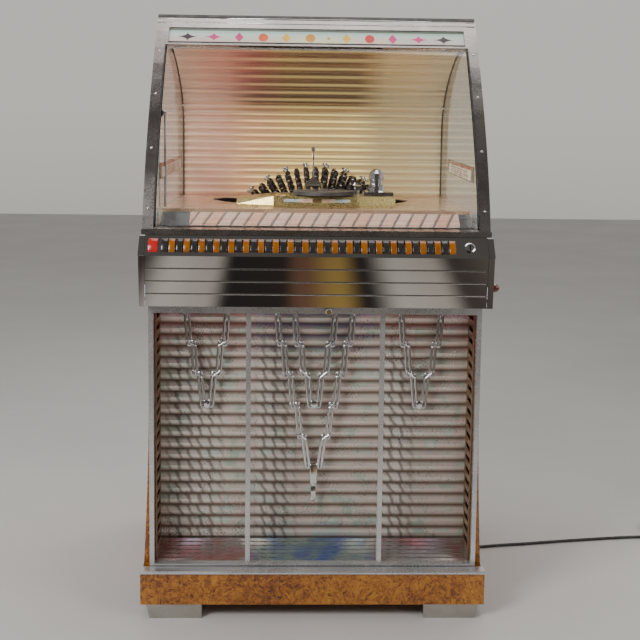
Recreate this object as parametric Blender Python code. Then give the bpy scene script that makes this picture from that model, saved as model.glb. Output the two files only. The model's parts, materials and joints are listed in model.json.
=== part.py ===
"""Floor standing record player cabinet with a glazed hood, keys and a chained grille door.

Metres, +Z up, the front faces -Y, x = 0 is the mid plane and z = 0 the floor.
"""

import math

import bmesh
import bpy
import numpy as np
from mathutils import Vector

# Fits
SEAT = 0.0003
PLAY = 0.0003
KEY_PLAY = 0.0005
OVERLAP = 0.0010
THROUGH = 0.0020
PIN_SIDES = 10
ROUND_SIDES = 16

# Cabinet
CABINET_HALF = 0.3995
PANEL_WALL = 0.0090
CABINET_FRONT = -0.2620
CABINET_BACK = 0.3350
PANEL_TOP = 0.9272
FLARE = 0.0135
FLARE_TOP = 0.5000
FLARE_STEPS = 6
FLARE_POWER = 1.6
SHELF_INNER_X = 0.3600
SHELF_Y = (-0.2000, 0.3100)
SHELF_Z = (0.9150, 0.9290)
CLEAT_INNER_X = 0.3650
CLEAT_Y = (-0.0300, 0.2400)
CLEAT_Z = (0.5050, 0.5247)

# Feet and plinth
FOOT_HEIGHT = 0.0350
FOOT_DEPTH = 0.0600
FOOT_SETBACK = 0.0030
FOOT_BEVEL = 0.0025
PLINTH_OVERHANG = 0.0155
PLINTH_HALF = CABINET_HALF + PLINTH_OVERHANG
FOOT_INNER_INSET = 0.1470
FOOT_FLOOR_INSET = 0.0210
FOOT_SPLAY = 0.0070
FOOT_INNER_X = PLINTH_HALF - FOOT_INNER_INSET
FOOT_FLOOR_X = PLINTH_HALF - FOOT_FLOOR_INSET
FOOT_TOP_X = FOOT_FLOOR_X + FOOT_SPLAY
PLINTH_FRONT = -0.3150
PLINTH_HEIGHT = 0.0750
PLINTH_WALL = 0.0180
PLINTH_BOARD = 0.0120
PLINTH_EDGE = 0.0020

# Lip moulding and the lower hinge of the door
LIP_PROUD = 0.0010
LIP_HALF = PLINTH_HALF + LIP_PROUD
LIP_FRONT = -0.3190
LIP_BACK = -0.2880
LIP_HEIGHT = 0.0084
LIP_ROUND = 0.0026
DOOR_INSET = 0.0040
DOOR_HALF = CABINET_HALF - DOOR_INSET
TAB_LENGTH = 0.0130
TAB_X = (-DOOR_HALF, TAB_LENGTH - DOOR_HALF)
TAB_BACK = -0.2700
TAB_HEIGHT = 0.0057
HINGE_INSET = 0.0065
HINGE_X = HINGE_INSET - DOOR_HALF
HINGE_Y = -0.2765
PINTLE_RADIUS = 0.0030
COLLAR_RADIUS = 0.0048
PINTLE_REACH = 0.0097

# Grille door
DOOR_FRONT = -0.2865
DOOR_DEPTH = 0.0200
DOOR_BOTTOM = 0.1203
DOOR_TOP = 0.7605
STILE_WIDTH = 0.0110
DIVIDER_X = 0.1595
BOTTOM_RAIL = 0.0042
TOP_RAIL = 0.0200
BORE_DEPTH = 0.0110
RETURN_INNER_X = 0.3805
RETURN_WALL = 0.0025
RETURN_BACK = -0.1830
RETURN_BOTTOM = 0.1207
SCREEN_TOP = 0.7570
SCREEN_FRONT = -0.1910
SCREEN_BACK = -0.1830
SCREEN_BOTTOM = 0.1500
SCREEN_RIBS = 21
SCREEN_RELIEF = 0.0035
SLOT_PITCH = 0.0295
SLOT_COUNT = 20
SLOT_HEIGHT = 0.0130
SLOT_MARGIN = 0.0090
FLOOR_FRONT_Z = 0.1205
FLOOR_BACK_Z = 0.1490
FLOOR_WALL = 0.0030
FLOOR_RIBS = 6
FLOOR_RELIEF = 0.0020

# Latch of the door
LATCH_X = 0.0300
LATCH_Z = 0.7475
LATCH_RADIUS = 0.0080
LATCH_KNOB = 0.0130
LATCH_EDGE = 0.0020
LATCH_SHAFT = 0.0030
LATCH_CAM = (0.0150, 0.0060, 0.0022)

# Chains, all tables in x and z
CHAIN_Y = -0.2120
STRAND = (0.0048, 0.0056)
STRAND_PITCH = 0.0056
STRAND_SHIFT = 0.0003
KNUCKLE_RADIUS = 0.0068
KNUCKLE_REACH = 0.0040
KNUCKLE_SIDES = 6
LONG_LEG = (
    ((-0.0911, 0.7170), (-0.0869, 0.6570)),
    ((-0.0759, 0.6510), (-0.0706, 0.5780)),
    ((-0.0586, 0.5730), (-0.0526, 0.5010)),
    ((-0.0416, 0.4960), (-0.0345, 0.4230)),
    ((-0.0240, 0.4150), (-0.0150, 0.3480)),
)
SHORT_LEG = (
    ((-0.0484, 0.7180), (-0.0438, 0.6560)),
    ((-0.0331, 0.6500), (-0.0283, 0.5810)),
    ((-0.0166, 0.5715), (-0.0102, 0.5025)),
)
LONG_TIP = ((0.0, 0.3440), (0.0010, 0.3310), (0.0020, 0.2550))
SHORT_TIP = ((0.0, 0.5090), (0.0, 0.4900))
TIP_RADII = (0.0090, 0.0100, 0.0045)
SHORT_TIP_RADII = (0.0085, 0.0070)
SIDE_CHAIN_X = (-0.2640, 0.2600)
HANGER_Z = (0.7530, 0.7560)
HANGER_BACK = -0.2050
HANGER_MARGIN = 0.0140

# Control housing, profiles in y and z
APRON_HALF = 0.3957
APRON_BOTTOM = (-0.3350, 0.7650)
APRON_TOP = (-0.3470, 0.8840)
APRON_STRIPS = 4
APRON_SHEET = 0.0015
APRON_FLANGE_BACK = -0.2680
BEAD_HEIGHT = 0.0042
BEAD_RELIEF = 0.0018
UPPER_PINTLE = 0.0135
CAP_X = (0.3960, 0.4100)
CAP_PROUD = 0.0015
CAP_TOP = 0.9272
SHEET_HALF = 0.00075
PANEL_LIP = (-0.3440, 0.8854)
PANEL_LOW = (-0.3525, 0.8854)
PANEL_HIGH = (-0.3220, 0.92825)
PANEL_BACK = (-0.2050, 0.92825)

# Keys, s runs up the slope and h out of it
KEY_FIRST_X = -0.3507
KEY_PITCH = 0.0170
KEY_WIDTH = 0.0148
KEY_COUNT = 40
KEYS_PER_BANK = 10
KEY_S = (0.0090, 0.0430)
KEY_RIDGE = (0.0290, 0.0065)
KEY_EDGES_H = (0.0022, 0.0038)
KEY_SKIRT_H = -0.0040
STEM_WIDTH = 0.0070
STEM_H = -0.0220
BAR_H = (-0.0238, -0.0195)
BAR_INSET = 0.0006
RED_KEY_X = (-0.3880, -0.3660)

# Coin entry, chute and box
COIN_X = 0.3530
COIN_S = 0.0260
BEZEL_RADIUS = 0.0125
BEZEL_RISE = (0.0018, 0.0032)
NECK_RADIUS = 0.0095
NECK_DEPTH = 0.0060
COIN_GAP = (0.0025, 0.0150)
CHUTE_X = (0.3480, 0.3580)
CHUTE_MOUTH_S = (0.0160, 0.0360)
CHUTE_WALL = 0.0034
CHUTE_LOW = (-0.1550, 0.7950)
CHUTE_HIGH = (-0.1300, 0.8150)
CHUTE_END_Z = 0.6300
CHUTE_TAB = ((-0.1500, 0.7000), (-0.1350, 0.7200))
CASH_X = 0.3000
CASH_Y = (-0.1720, -0.0700)
CASH_Z = (0.5003, 0.6200)
CASH_WALL = 0.0020

# Ball knob on the right side
KNOB_CENTRE = (0.4215, -0.3000, 0.8085)
KNOB_RADIUS = 0.0105
KNOB_SHAFT = 0.0040
KNOB_COLLAR = (0.0065, 0.0040)
KNOB_SIDES = 12

# Hood that opens as a lid, paths in y and z
SILL_Y = (-0.3200, -0.2500)
SILL_HALF = (0.4065, 0.3940)
SILL_Z = (0.9295, 0.9425)
SIDE_BAR_X = (0.3815, 0.4055)
SIDE_BAR_Y = (-0.2620, 0.3300)
SIDE_BAR_Z = (0.9299, 0.9435)
RAIL_X = (0.3810, 0.4060)
RAIL_HALF = 0.0080
RAIL_CURVE = ((-0.3000, 0.9380), (-0.2500, 1.1500), (-0.0080, 1.4570))
RAIL_STEPS = 14
REAR_RAIL_X = (0.3812, 0.3950)
REAR_RAIL_HALF = 0.0110
REAR_RAIL_FOOT = (0.3050, 0.9380)
REAR_RAIL_CURVE = ((0.3050, 1.1700), (0.3050, 1.3120), (0.0200, 1.4120))
REAR_RAIL_END = (-0.0300, 1.4295)
REAR_RAIL_STEPS = 8
HEADER_LENGTH = 0.0990
HEADER_HALF = 0.0090
HEADER_STEPS = 5
WINDOW_START = 0.0110
WINDOW_LENGTH = 0.0425
WINDOW_HALF = 0.3743
STRIP_HALF = 0.0020
GLASS_IN_RAIL = (0.0010, 0.0050)
GLASS_START = 0.0080
SIDE_GLASS_X = (0.3767, 0.3807)
SIDE_GLASS_SHIFT = -0.0015
SIDE_GLASS_BOTTOM = 0.9445
SIDE_GLASS_TOP = 1.3720
LAMP_RADIUS = 0.0080
LAMP_MARGIN = 0.0193
LAMP_HALF = WINDOW_HALF - LAMP_MARGIN
LAMP_BEHIND = 0.0290
LAMP_AT = 0.0320
LAMP_BRACKET = (0.0080, 0.0110)
SHELL_CURVE = ((0.0120, 1.4550), (0.3400, 1.4400), (0.3350, 1.2430))
SHELL_STEPS = 10
SHELL_WALL = 0.0030
SHELL_HALF = 0.4055
CHEEK_X = (0.3850, 0.3890)
LID_AXIS = (0.3430, 1.2330)
LID_ROD = 0.0040
SLEEVE_RADIUS = 0.0080
KNUCKLES_X = (0.0070, 0.3770)
BRACKETS_X = ((-0.3890, -0.3775), (-0.0065, 0.0065), (0.3775, 0.3890))
BRACKET_HALF = 0.0058
STAY_X = (-0.3725, -0.3665)
STAY_PIVOT = (-0.1715, 1.2100)
STAY_PIN = 0.0020
STAY_EYE = 0.0045
STAY_RADIUS = 0.0028
STAY_BOTTOM = 0.9826
STAY_LUG = (0.0045, 0.0055)
STAY_NOTCH = 0.0090

# Hood back, reflector and deck
BACK_SHELL_Y = (0.3380, 0.3500)
BACK_SHELL_Z = (0.9260, 1.2235)
BACK_FLANGE_Y = 0.3125
BACK_FLANGE_X = 0.3780
BACK_FLANGE_Z = (0.9275, 0.9300)
INNER_HALF = 0.3745
REFLECTOR_Y = 0.3180
REFLECTOR_BEND = ((0.3180, 1.1700), (0.3180, 1.3000), (0.0450, 1.3850))
REFLECTOR_PITCH = 0.0203
REFLECTOR_RELIEF = 0.0050
REFLECTOR_WALL = 0.0030
REFLECTOR_BACK_STEPS = 10
SCALLOP_SHARES = ((0.0, 0.0), (0.22, 0.75), (0.5, 1.0), (0.78, 0.75))
DECK_Z = (0.9790, 0.9820)
DECK_Y = (-0.2035, 0.3260)
DECK_FLANGE = 0.0020
DECK_FRONT_DROP = 0.0240
LENS_LEFT = (-0.2800, 0.1400)
LENS_RIGHT = (0.2630, 0.1400)
LENS_FRONT_Y = -0.0850
LENS_BACK = ((0.2350, 0.2100), (-0.2480, 0.2100))
LENS_STEPS = 14

# Title rack, y and z
RACK_HALF = 0.3720
RACK_PROFILE = ((-0.2470, 0.9293), (-0.2070, 0.9293), (-0.2070, 0.9735), (-0.2470, 0.9440))
RACK_STRIPS = 20
RACK_STRIPS_X = (-0.3040, 0.3440)
RACK_LEAN = 0.0210
RACK_STRIP_RELIEF = 0.0012
RACK_STRIP_SHARE = 0.86
RACK_EDGE_SHARES = (0.14, 0.92)

# Back frame and service door
FRAME_Y = 0.3190
FRAME_OPENING_X = 0.3300
FRAME_OPENING_Z = (0.1600, 0.8800)
SERVICE_LAP = 0.0150
SERVICE_HALF = FRAME_OPENING_X + SERVICE_LAP
SERVICE_Y = (0.3380, 0.3460)
SERVICE_Z = (0.1500, 0.8900)
SERVICE_AXIS_Y = 0.3410
SERVICE_LUGS_Z = (0.2300, 0.7700)
LUG_HEIGHT = 0.0120
LUG_HALF = 0.0050
SERVICE_PIN = 0.0025
SERVICE_PIN_LENGTH = 0.0200
SERVICE_KNUCKLE = 0.0050
SERVICE_NOTCH = 0.0090

# Record mechanism
WHEEL_CENTRE = (0.0040, 0.1075, 0.8160)
WHEEL_PLACES = 60
RECORD_RADIUS = 0.0875
WHEEL_RADIUS = 0.2620
WHEEL_OFFSETS = (-0.0850, -0.0400, 0.0400, 0.0850)
WHEEL_SLOT = 0.0380
WHEEL_WELL = 0.0700
WHEEL_WEB = 0.0240
WHEEL_SIDES = 24
AXLE_RADIUS = 0.0060
RIM_RADIUS = 0.1500
RIM_WALL = (0.1900, 0.2020)
RIM_SIDES = 36
ROLLER_RADIUS = 0.0200
ROLLER_FRONT = 0.1940
ROLLER_ANGLE = -60.0
ROLLER_SHAFT = 0.0040
ROLLER_BACK = 0.2260
CHASSIS_HALF = 0.3800
CHASSIS_Y = (-0.0200, 0.2300)
CHASSIS_Z = (0.5250, 0.5400)
FRONT_UPRIGHT = ((-0.0560, 0.0030), (0.0640, 0.0080))
REAR_UPRIGHT = ((-0.1000, 0.2050), (0.1300, 0.2130))
UPRIGHT_TOP = 0.8460
MOTOR_RADIUS = 0.0320
MOTOR_BACK = 0.2720
COVER_SECTIONS = (
    (-0.1980, -0.1200, 1.0000),
    (-0.1060, -0.1500, 1.0095),
    (0.1060, -0.1500, 1.0095),
    (0.2000, -0.1200, 1.0095),
)
COVER_BACK = 0.0040
COVER_SKIRT = 0.0057
COVER_LEAN = 0.0080
DOME = (-0.0780, -0.1250, 0.0180, 0.0080)
PLATTER_AXIS = (0.0200, -0.0900)
PLATTER_RADIUS = 0.0780
PLATTER_SIDES = 28
PLATTER_Z = (1.0125, 1.0215)
SPINDLE_RADIUS = 0.0110
SPINDLE_BOTTOM = 0.9900
ADAPTER = (0.0190, 0.0040)
ARM_AXIS = (-0.0040, 1.0300)
ARM_X = (-0.0235, 0.0157)
ARM_ROD_X = -0.0050
ARM_HUB = 0.0050
ARM_PIN = 0.0020
ARM_TOP = 1.1240
ARM_BALL = 0.0060
ARM_ROD = 0.0026
ARM_FOOT_TOP = 1.0520
ARM_FOOT_HALF = 0.0020
EAR_WALL = 0.0040
EAR_HALF = 0.0055
TONEARM_AXIS = (0.1080, -0.0120)
TONEARM_BASE = (0.0080, 1.0300)
TONEARM_PIN = (0.0030, 0.9960)
TONEARM_Z = 1.0340
TONEARM_TUBE = 0.0030
TONEARM_REACH = 0.1120
TONEARM_HEAD = (0.0060, 0.0200, 0.0070)
TONEARM_WEIGHT = (0.0075, 0.0150)
GEAR_AXIS = (0.1540, -0.0800)
GEAR_BASE = ((0.1210, -0.1150), (0.1950, -0.0450))
GEAR_BASE_TOP = 1.0200
GEAR_PROFILE = ((1.0190, 0.0210), (1.0350, 0.0210), (1.0380, 0.0160), (1.0480, 0.0160), (1.0520, 0.0200),
                (1.0660, 0.0190), (1.0740, 0.0120), (1.0770, 0.0040))

# Inside the cabinet
BAFFLE_Y = (-0.1700, -0.1550)
BAFFLE_TOP = 0.5000
SPEAKER_Z = 0.3200
SPEAKER_PROFILE = ((-0.1570, 0.1500), (-0.1450, 0.1500), (-0.0950, 0.0700), (-0.0950, 0.0500), (-0.0600, 0.0500))
SPEAKER_SIDES = 24
AMPLIFIER = ((-0.2500, 0.0500), (0.1000, 0.2500))
AMPLIFIER_HEIGHT = 0.0600
TRANSFORMER = ((0.0000, 0.1000), (0.0850, 0.1900))
TRANSFORMER_HEIGHT = 0.0900
VALVES_X = (-0.2150, -0.1650, -0.1150, -0.0650)
VALVE_Y = 0.1000
VALVE = (0.0130, 0.0800)
LAMP_TUBE_Y = -0.2350
LAMP_TUBE_Z = 0.7850
LAMP_TUBE_RADII = (0.0150, 0.0125)
LAMP_SOCKET = 0.0300

# Mains lead, table of hand placed points
CORD_RADIUS = 0.0040
CORD_Z = 0.0041
RELIEF_X = 0.3150
RELIEF_Z = 0.0745
RELIEF_LENGTH = 0.0400
RELIEF_RADII = (0.0105, 0.0085, 0.0058)
CORD_ROUTE = (
    (0.3150, 0.3754, 0.0745), (0.3150, 0.3970, 0.0745), (0.3160, 0.4210, 0.0650), (0.3210, 0.4400, 0.0400),
    (0.3330, 0.4530, 0.0140), (0.3560, 0.4610, 0.0041), (0.3950, 0.4570, 0.0041), (0.4300, 0.4280, 0.0041),
    (0.4480, 0.3800, 0.0041), (0.4490, 0.3200, 0.0041), (0.4400, 0.2550, 0.0041), (0.4330, 0.2000, 0.0041),
    (0.4350, 0.1500, 0.0041), (0.4490, 0.1120, 0.0041), (0.4770, 0.0975, 0.0041), (0.5420, 0.1080, 0.0041),
    (0.6010, 0.1165, 0.0041), (0.6610, 0.1265, 0.0041), (0.7220, 0.1370, 0.0041), (0.8000, 0.1490, 0.0041),
    (0.8800, 0.1600, 0.0041), (0.9500, 0.1675, 0.0041), (1.0000, 0.1699, 0.0041), (1.0287, 0.1700, 0.0041),
    (1.0367, 0.1700, 0.0041),
)
CORD_SPACING = 0.0220
COIL_CENTRE = (1.0450, 0.2230)
COIL_OUTER = 0.0530
COIL_PITCH = 0.0088
COIL_TURNS = 5.25
COIL_CLIMB = 0.5
COIL_DIP = 0.0030
COIL_STEPS = 24
COIL_TAIL = 0.0200
PLUG_PROFILE = ((0.0, 0.0060), (0.0180, 0.0080), (0.0200, 0.0122), (0.0520, 0.0122), (0.0540, 0.0105))
PLUG_PINS = (0.0024, 0.0190, 0.0065)

# Colour, roughness, metallic
FINISHES = {
    "burl_laminate": ((0.55, 0.27, 0.06), 0.30, 0.0),
    "brushed_steel": ((0.62, 0.60, 0.57), 0.32, 1.0),
    "satin_aluminium": ((0.66, 0.66, 0.66), 0.36, 1.0),
    "chrome": ((0.78, 0.78, 0.80), 0.08, 1.0),
    "champagne_screen": ((0.72, 0.66, 0.60), 0.28, 1.0),
    "gold_reflector": ((0.83, 0.66, 0.34), 0.22, 1.0),
    "copper_deck": ((0.72, 0.48, 0.33), 0.25, 0.8),
    "gold_cover": ((0.62, 0.52, 0.26), 0.30, 1.0),
    "black_plastic": ((0.03, 0.03, 0.03), 0.30, 0.0),
    "amber_plastic": ((0.75, 0.33, 0.04), 0.25, 0.0),
    "red_plastic": ((0.70, 0.03, 0.03), 0.25, 0.0),
    "clear_glass": ((0.90, 0.92, 0.92), 0.03, 0.0),
    "lit_strip": ((0.85, 0.90, 0.82), 0.40, 0.0),
    "lamp_glass": ((0.95, 0.93, 0.85), 0.25, 0.0),
    "title_card": ((0.85, 0.62, 0.50), 0.50, 0.0),
    "record_vinyl": ((0.06, 0.05, 0.05), 0.35, 0.0),
    "painted_dark": ((0.08, 0.07, 0.07), 0.45, 0.0),
    "grey_casting": ((0.45, 0.45, 0.46), 0.40, 1.0),
    "rubber": ((0.02, 0.02, 0.02), 0.60, 0.0),
    "brown_knob": ((0.16, 0.04, 0.03), 0.25, 0.0),
}
PLANES = {"x": (1, 2, 0), "y": (0, 2, 1), "z": (0, 1, 2)}
SMOOTH_ANGLE = math.radians(32.0)


def material(name):
    """The named finish as a Principled material, made once."""
    found = bpy.data.materials.get(name)
    if found:
        return found
    colour, roughness, metallic = FINISHES[name]
    made = bpy.data.materials.new(name)
    made.use_nodes = True
    shader = made.node_tree.nodes["Principled BSDF"]
    shader.inputs["Base Color"].default_value = (*colour, 1.0)
    shader.inputs["Roughness"].default_value = roughness
    shader.inputs["Metallic"].default_value = metallic
    return made


def solid(vertices, faces):
    """An object made of these faces, turned to face outwards."""
    mesh = bpy.data.meshes.new("shape")
    mesh.from_pydata([tuple(float(value) for value in vertex) for vertex in vertices], [], faces)
    work = bmesh.new()
    work.from_mesh(mesh)
    bmesh.ops.recalc_face_normals(work, faces=work.faces[:])
    work.to_mesh(mesh)
    work.free()
    shape = bpy.data.objects.new("shape", mesh)
    bpy.context.scene.collection.objects.link(shape)
    return shape


def loft(sections, closed=False):
    """A skin through equal rings of points, capped unless it closes on itself."""
    count = len(sections[0])
    spans = len(sections) if closed else len(sections) - 1
    faces = []
    for near in range(spans):
        far = (near + 1) % len(sections)
        for place in range(count):
            after = (place + 1) % count
            faces.append((near * count + place, near * count + after, far * count + after, far * count + place))
    if not closed:
        last = (len(sections) - 1) * count
        faces.append(tuple(range(count)))
        faces.append(tuple(last + place for place in reversed(range(count))))
    return solid([point for section in sections for point in section], faces)


def prism(outline, axis, start, end):
    """A flat outline pulled along an axis from start to end."""
    first, second, along = PLANES[axis]
    sections = []
    for level in (start, end):
        section = np.zeros((len(outline), 3))
        section[:, first] = [point[0] for point in outline]
        section[:, second] = [point[1] for point in outline]
        section[:, along] = level
        sections.append(section)
    return loft(sections)


def block(low, high):
    """A box between two corners."""
    outline = ((low[0], low[1]), (high[0], low[1]), (high[0], high[1]), (low[0], high[1]))
    return prism(outline, "z", low[2], high[2])


def turned(profile, origin, direction, sides, hollow=False):
    """A turned piece: pairs of distance along the direction and radius, round the line from origin."""
    line = Vector(direction).normalized()
    across = line.orthogonal().normalized()
    upright = line.cross(across)
    start = Vector(origin)
    angles = [2 * math.pi * step / sides for step in range(sides)]
    if hollow:
        sections = []
        for angle in angles:
            out = across * math.cos(angle) + upright * math.sin(angle)
            sections.append([start + line * along + out * radius for along, radius in profile])
        return loft(sections, closed=True)
    sections = []
    for along, radius in profile:
        centre = start + line * along
        ring = [across * math.cos(angle) + upright * math.sin(angle) for angle in angles]
        sections.append([centre + out * radius for out in ring])
    return loft(sections)


def rod(start, end, radius, sides=PIN_SIDES):
    """A round bar between two points."""
    run = Vector(end) - Vector(start)
    return turned(((0.0, radius), (run.length, radius)), start, run, sides)


def tapered(start, end, radii, sides):
    """A round bar whose radius follows the list at equal steps."""
    run = Vector(end) - Vector(start)
    steps = len(radii) - 1
    profile = [(run.length * place / steps, radius) for place, radius in enumerate(radii)]
    return turned(profile, start, run, sides)


def gathered(shapes):
    """Several shapes as one object, for use as a single tool."""
    work = bmesh.new()
    for shape in shapes:
        work.from_mesh(shape.data)
        bpy.data.objects.remove(shape)
    mesh = bpy.data.meshes.new("tools")
    work.to_mesh(mesh)
    work.free()
    tool = bpy.data.objects.new("tools", mesh)
    bpy.context.scene.collection.objects.link(tool)
    return tool


def combined(body, tool, operation):
    """The exact Boolean of two objects, left in the first one."""
    tool.hide_render = True
    tool.display_type = "WIRE"
    step = body.modifiers.new("shape", "BOOLEAN")
    step.operation = operation
    step.solver = "EXACT"
    step.object = tool
    bpy.context.view_layer.update()
    result = body.evaluated_get(bpy.context.evaluated_depsgraph_get())
    mesh = bpy.data.meshes.new_from_object(result)
    body.modifiers.clear()
    body.data = mesh
    bpy.data.objects.remove(tool)
    return body


def join(body, *shapes):
    """Adds each shape to the body."""
    for shape in shapes:
        combined(body, shape, "UNION")
    return body


def cut(body, *shapes):
    """Takes the shapes away from the body, all at once, so they must not overlap."""
    return combined(body, gathered(shapes), "DIFFERENCE")


def mirrored(shape):
    """A copy on the other side of the mid plane."""
    mesh = shape.data.copy()
    work = bmesh.new()
    work.from_mesh(mesh)
    for vertex in work.verts:
        vertex.co.x = -vertex.co.x
    bmesh.ops.reverse_faces(work, faces=work.faces[:])
    work.to_mesh(mesh)
    work.free()
    copy = bpy.data.objects.new("shape", mesh)
    bpy.context.scene.collection.objects.link(copy)
    return copy


def finish(shape, name, finish_name, smooth=False, pivot=None):
    """Names a piece, gives it its finish and puts its origin on its joint."""
    shape.name = name
    shape.data.name = name
    mesh = shape.data
    mesh.materials.clear()
    mesh.materials.append(material(finish_name))
    work = bmesh.new()
    work.from_mesh(mesh)
    for face in work.faces:
        face.smooth = smooth
        face.material_index = 0
    for edge in work.edges:
        edge.smooth = not (edge.is_manifold and edge.calc_face_angle() > SMOOTH_ANGLE)
    if pivot is not None:
        bmesh.ops.translate(work, verts=work.verts[:], vec=-Vector(pivot))
        shape.location = pivot
    work.to_mesh(mesh)
    work.free()
    return shape


def bend(start, control, end, steps):
    """Points of a quadratic curve."""
    points = []
    for step in range(steps + 1):
        t = step / steps
        points.append(tuple(
            start[k] * (1 - t) ** 2 + 2 * control[k] * t * (1 - t) + end[k] * t ** 2 for k in range(len(start))
        ))
    return points


def shifted(path, distance):
    """A flat path moved to its left by a distance, with mitred corners."""
    points = np.array(path, dtype=float)
    runs = np.diff(points, axis=0)
    runs /= np.linalg.norm(runs, axis=1)[:, None]
    sides = np.stack([-runs[:, 1], runs[:, 0]], axis=1)
    before = np.vstack([sides[:1], sides])
    after = np.vstack([sides, sides[-1:]])
    mitre = before + after
    mitre /= (mitre * before).sum(axis=1)[:, None]
    return [tuple(point) for point in points + mitre * distance]


def band(path, near, far):
    """The outline of a sheet that follows a path between two distances to its left."""
    return shifted(path, near) + shifted(path, far)[::-1]


def part_of(path, start, end):
    """The stretch of a path between two distances along it."""
    points = np.array(path, dtype=float)
    lengths = np.concatenate([[0.0], np.cumsum(np.linalg.norm(np.diff(points, axis=0), axis=1))])
    inner = [length for length in lengths if start + OVERLAP < length < end - OVERLAP]
    marks = [start, *inner, end]
    return [tuple(np.interp(mark, lengths, points[:, k]) for k in range(points.shape[1])) for mark in marks]


def length_of(path):
    """The length of a path."""
    return float(np.linalg.norm(np.diff(np.array(path, dtype=float), axis=0), axis=1).sum())


PLINTH_BOTTOM = FOOT_HEIGHT + SEAT
PLINTH_TOP = PLINTH_BOTTOM + PLINTH_HEIGHT
BASE = PLINTH_TOP + SEAT
PANEL_INNER = CABINET_HALF - PANEL_WALL
INSIDE = PANEL_INNER - SEAT


def build_feet():
    """Four wedge shaped feet, the rear pair set back like the front pair."""
    ends = {
        "front": PLINTH_FRONT + FOOT_SETBACK,
        "rear": CABINET_BACK - FOOT_SETBACK - FOOT_DEPTH,
    }
    outline = (
        (FOOT_INNER_X + FOOT_BEVEL, 0.0), (FOOT_FLOOR_X - FOOT_BEVEL, 0.0), (FOOT_FLOOR_X, FOOT_BEVEL),
        (FOOT_TOP_X, FOOT_HEIGHT), (FOOT_INNER_X, FOOT_HEIGHT), (FOOT_INNER_X, FOOT_BEVEL),
    )
    for end, start in ends.items():
        right = prism(outline, "y", start, start + FOOT_DEPTH)
        left = mirrored(right)
        finish(right, f"foot_{end}_right", "brushed_steel")
        finish(left, f"foot_{end}_left", "brushed_steel")


def build_plinth():
    """A box open below under the cabinet."""
    outline = (
        (-PLINTH_HALF, PLINTH_FRONT + PLINTH_EDGE), (-PLINTH_HALF + PLINTH_EDGE, PLINTH_FRONT),
        (PLINTH_HALF - PLINTH_EDGE, PLINTH_FRONT), (PLINTH_HALF, PLINTH_FRONT + PLINTH_EDGE),
        (PLINTH_HALF, CABINET_BACK), (-PLINTH_HALF, CABINET_BACK),
    )
    box = prism(outline, "z", PLINTH_BOTTOM, PLINTH_TOP)
    low = (-PLINTH_HALF + PLINTH_WALL, PLINTH_FRONT + PLINTH_WALL, PLINTH_BOTTOM - THROUGH)
    high = (PLINTH_HALF - PLINTH_WALL, CABINET_BACK - PLINTH_WALL, PLINTH_TOP - PLINTH_BOARD)
    cut(box, block(low, high))
    finish(box, "plinth", "burl_laminate")


def build_lip_moulding():
    """The moulding on the plinth's front edge, with the lower hinge pin of the door."""
    top = BASE + LIP_HEIGHT
    outline = (
        (LIP_BACK, BASE), (LIP_BACK, top), (LIP_FRONT + LIP_ROUND, top), (LIP_FRONT, top - LIP_ROUND),
        (LIP_FRONT, BASE + LIP_ROUND), (LIP_FRONT + LIP_ROUND, BASE),
    )
    lip = prism(outline, "x", -LIP_HALF, LIP_HALF)
    tab_low = BASE + SEAT
    tab_top = tab_low + TAB_HEIGHT
    tab = block((TAB_X[0], LIP_BACK - OVERLAP, tab_low), (TAB_X[1], TAB_BACK, tab_top))
    collar = rod((HINGE_X, HINGE_Y, tab_top - OVERLAP), (HINGE_X, HINGE_Y, DOOR_BOTTOM - SEAT), COLLAR_RADIUS)
    foot = DOOR_BOTTOM - SEAT - OVERLAP
    pin = rod((HINGE_X, HINGE_Y, foot), (HINGE_X, HINGE_Y, DOOR_BOTTOM + PINTLE_REACH), PINTLE_RADIUS)
    join(lip, tab, collar, pin)
    finish(lip, "lip_moulding", "chrome")


def build_side_panels():
    """Burl sides that flare out below, each with a shelf for the deck and a cleat for the mechanism."""
    outline = [(PANEL_INNER, BASE), (PANEL_INNER, PANEL_TOP), (CABINET_HALF, PANEL_TOP)]
    for step in range(FLARE_STEPS + 1):
        share = step / FLARE_STEPS
        z = FLARE_TOP + (BASE - FLARE_TOP) * share
        outline.append((CABINET_HALF + FLARE * share ** FLARE_POWER, z))
    panel = prism(outline, "y", CABINET_FRONT, CABINET_BACK)
    joint = PANEL_INNER + THROUGH
    shelf = block((SHELF_INNER_X, SHELF_Y[0], SHELF_Z[0]), (joint, SHELF_Y[1], SHELF_Z[1]))
    cleat = block((CLEAT_INNER_X, CLEAT_Y[0], CLEAT_Z[0]), (joint, CLEAT_Y[1], CLEAT_Z[1]))
    join(panel, shelf, cleat)
    left = mirrored(panel)
    finish(panel, "right_side_panel", "burl_laminate")
    finish(left, "left_side_panel", "burl_laminate")


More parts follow.
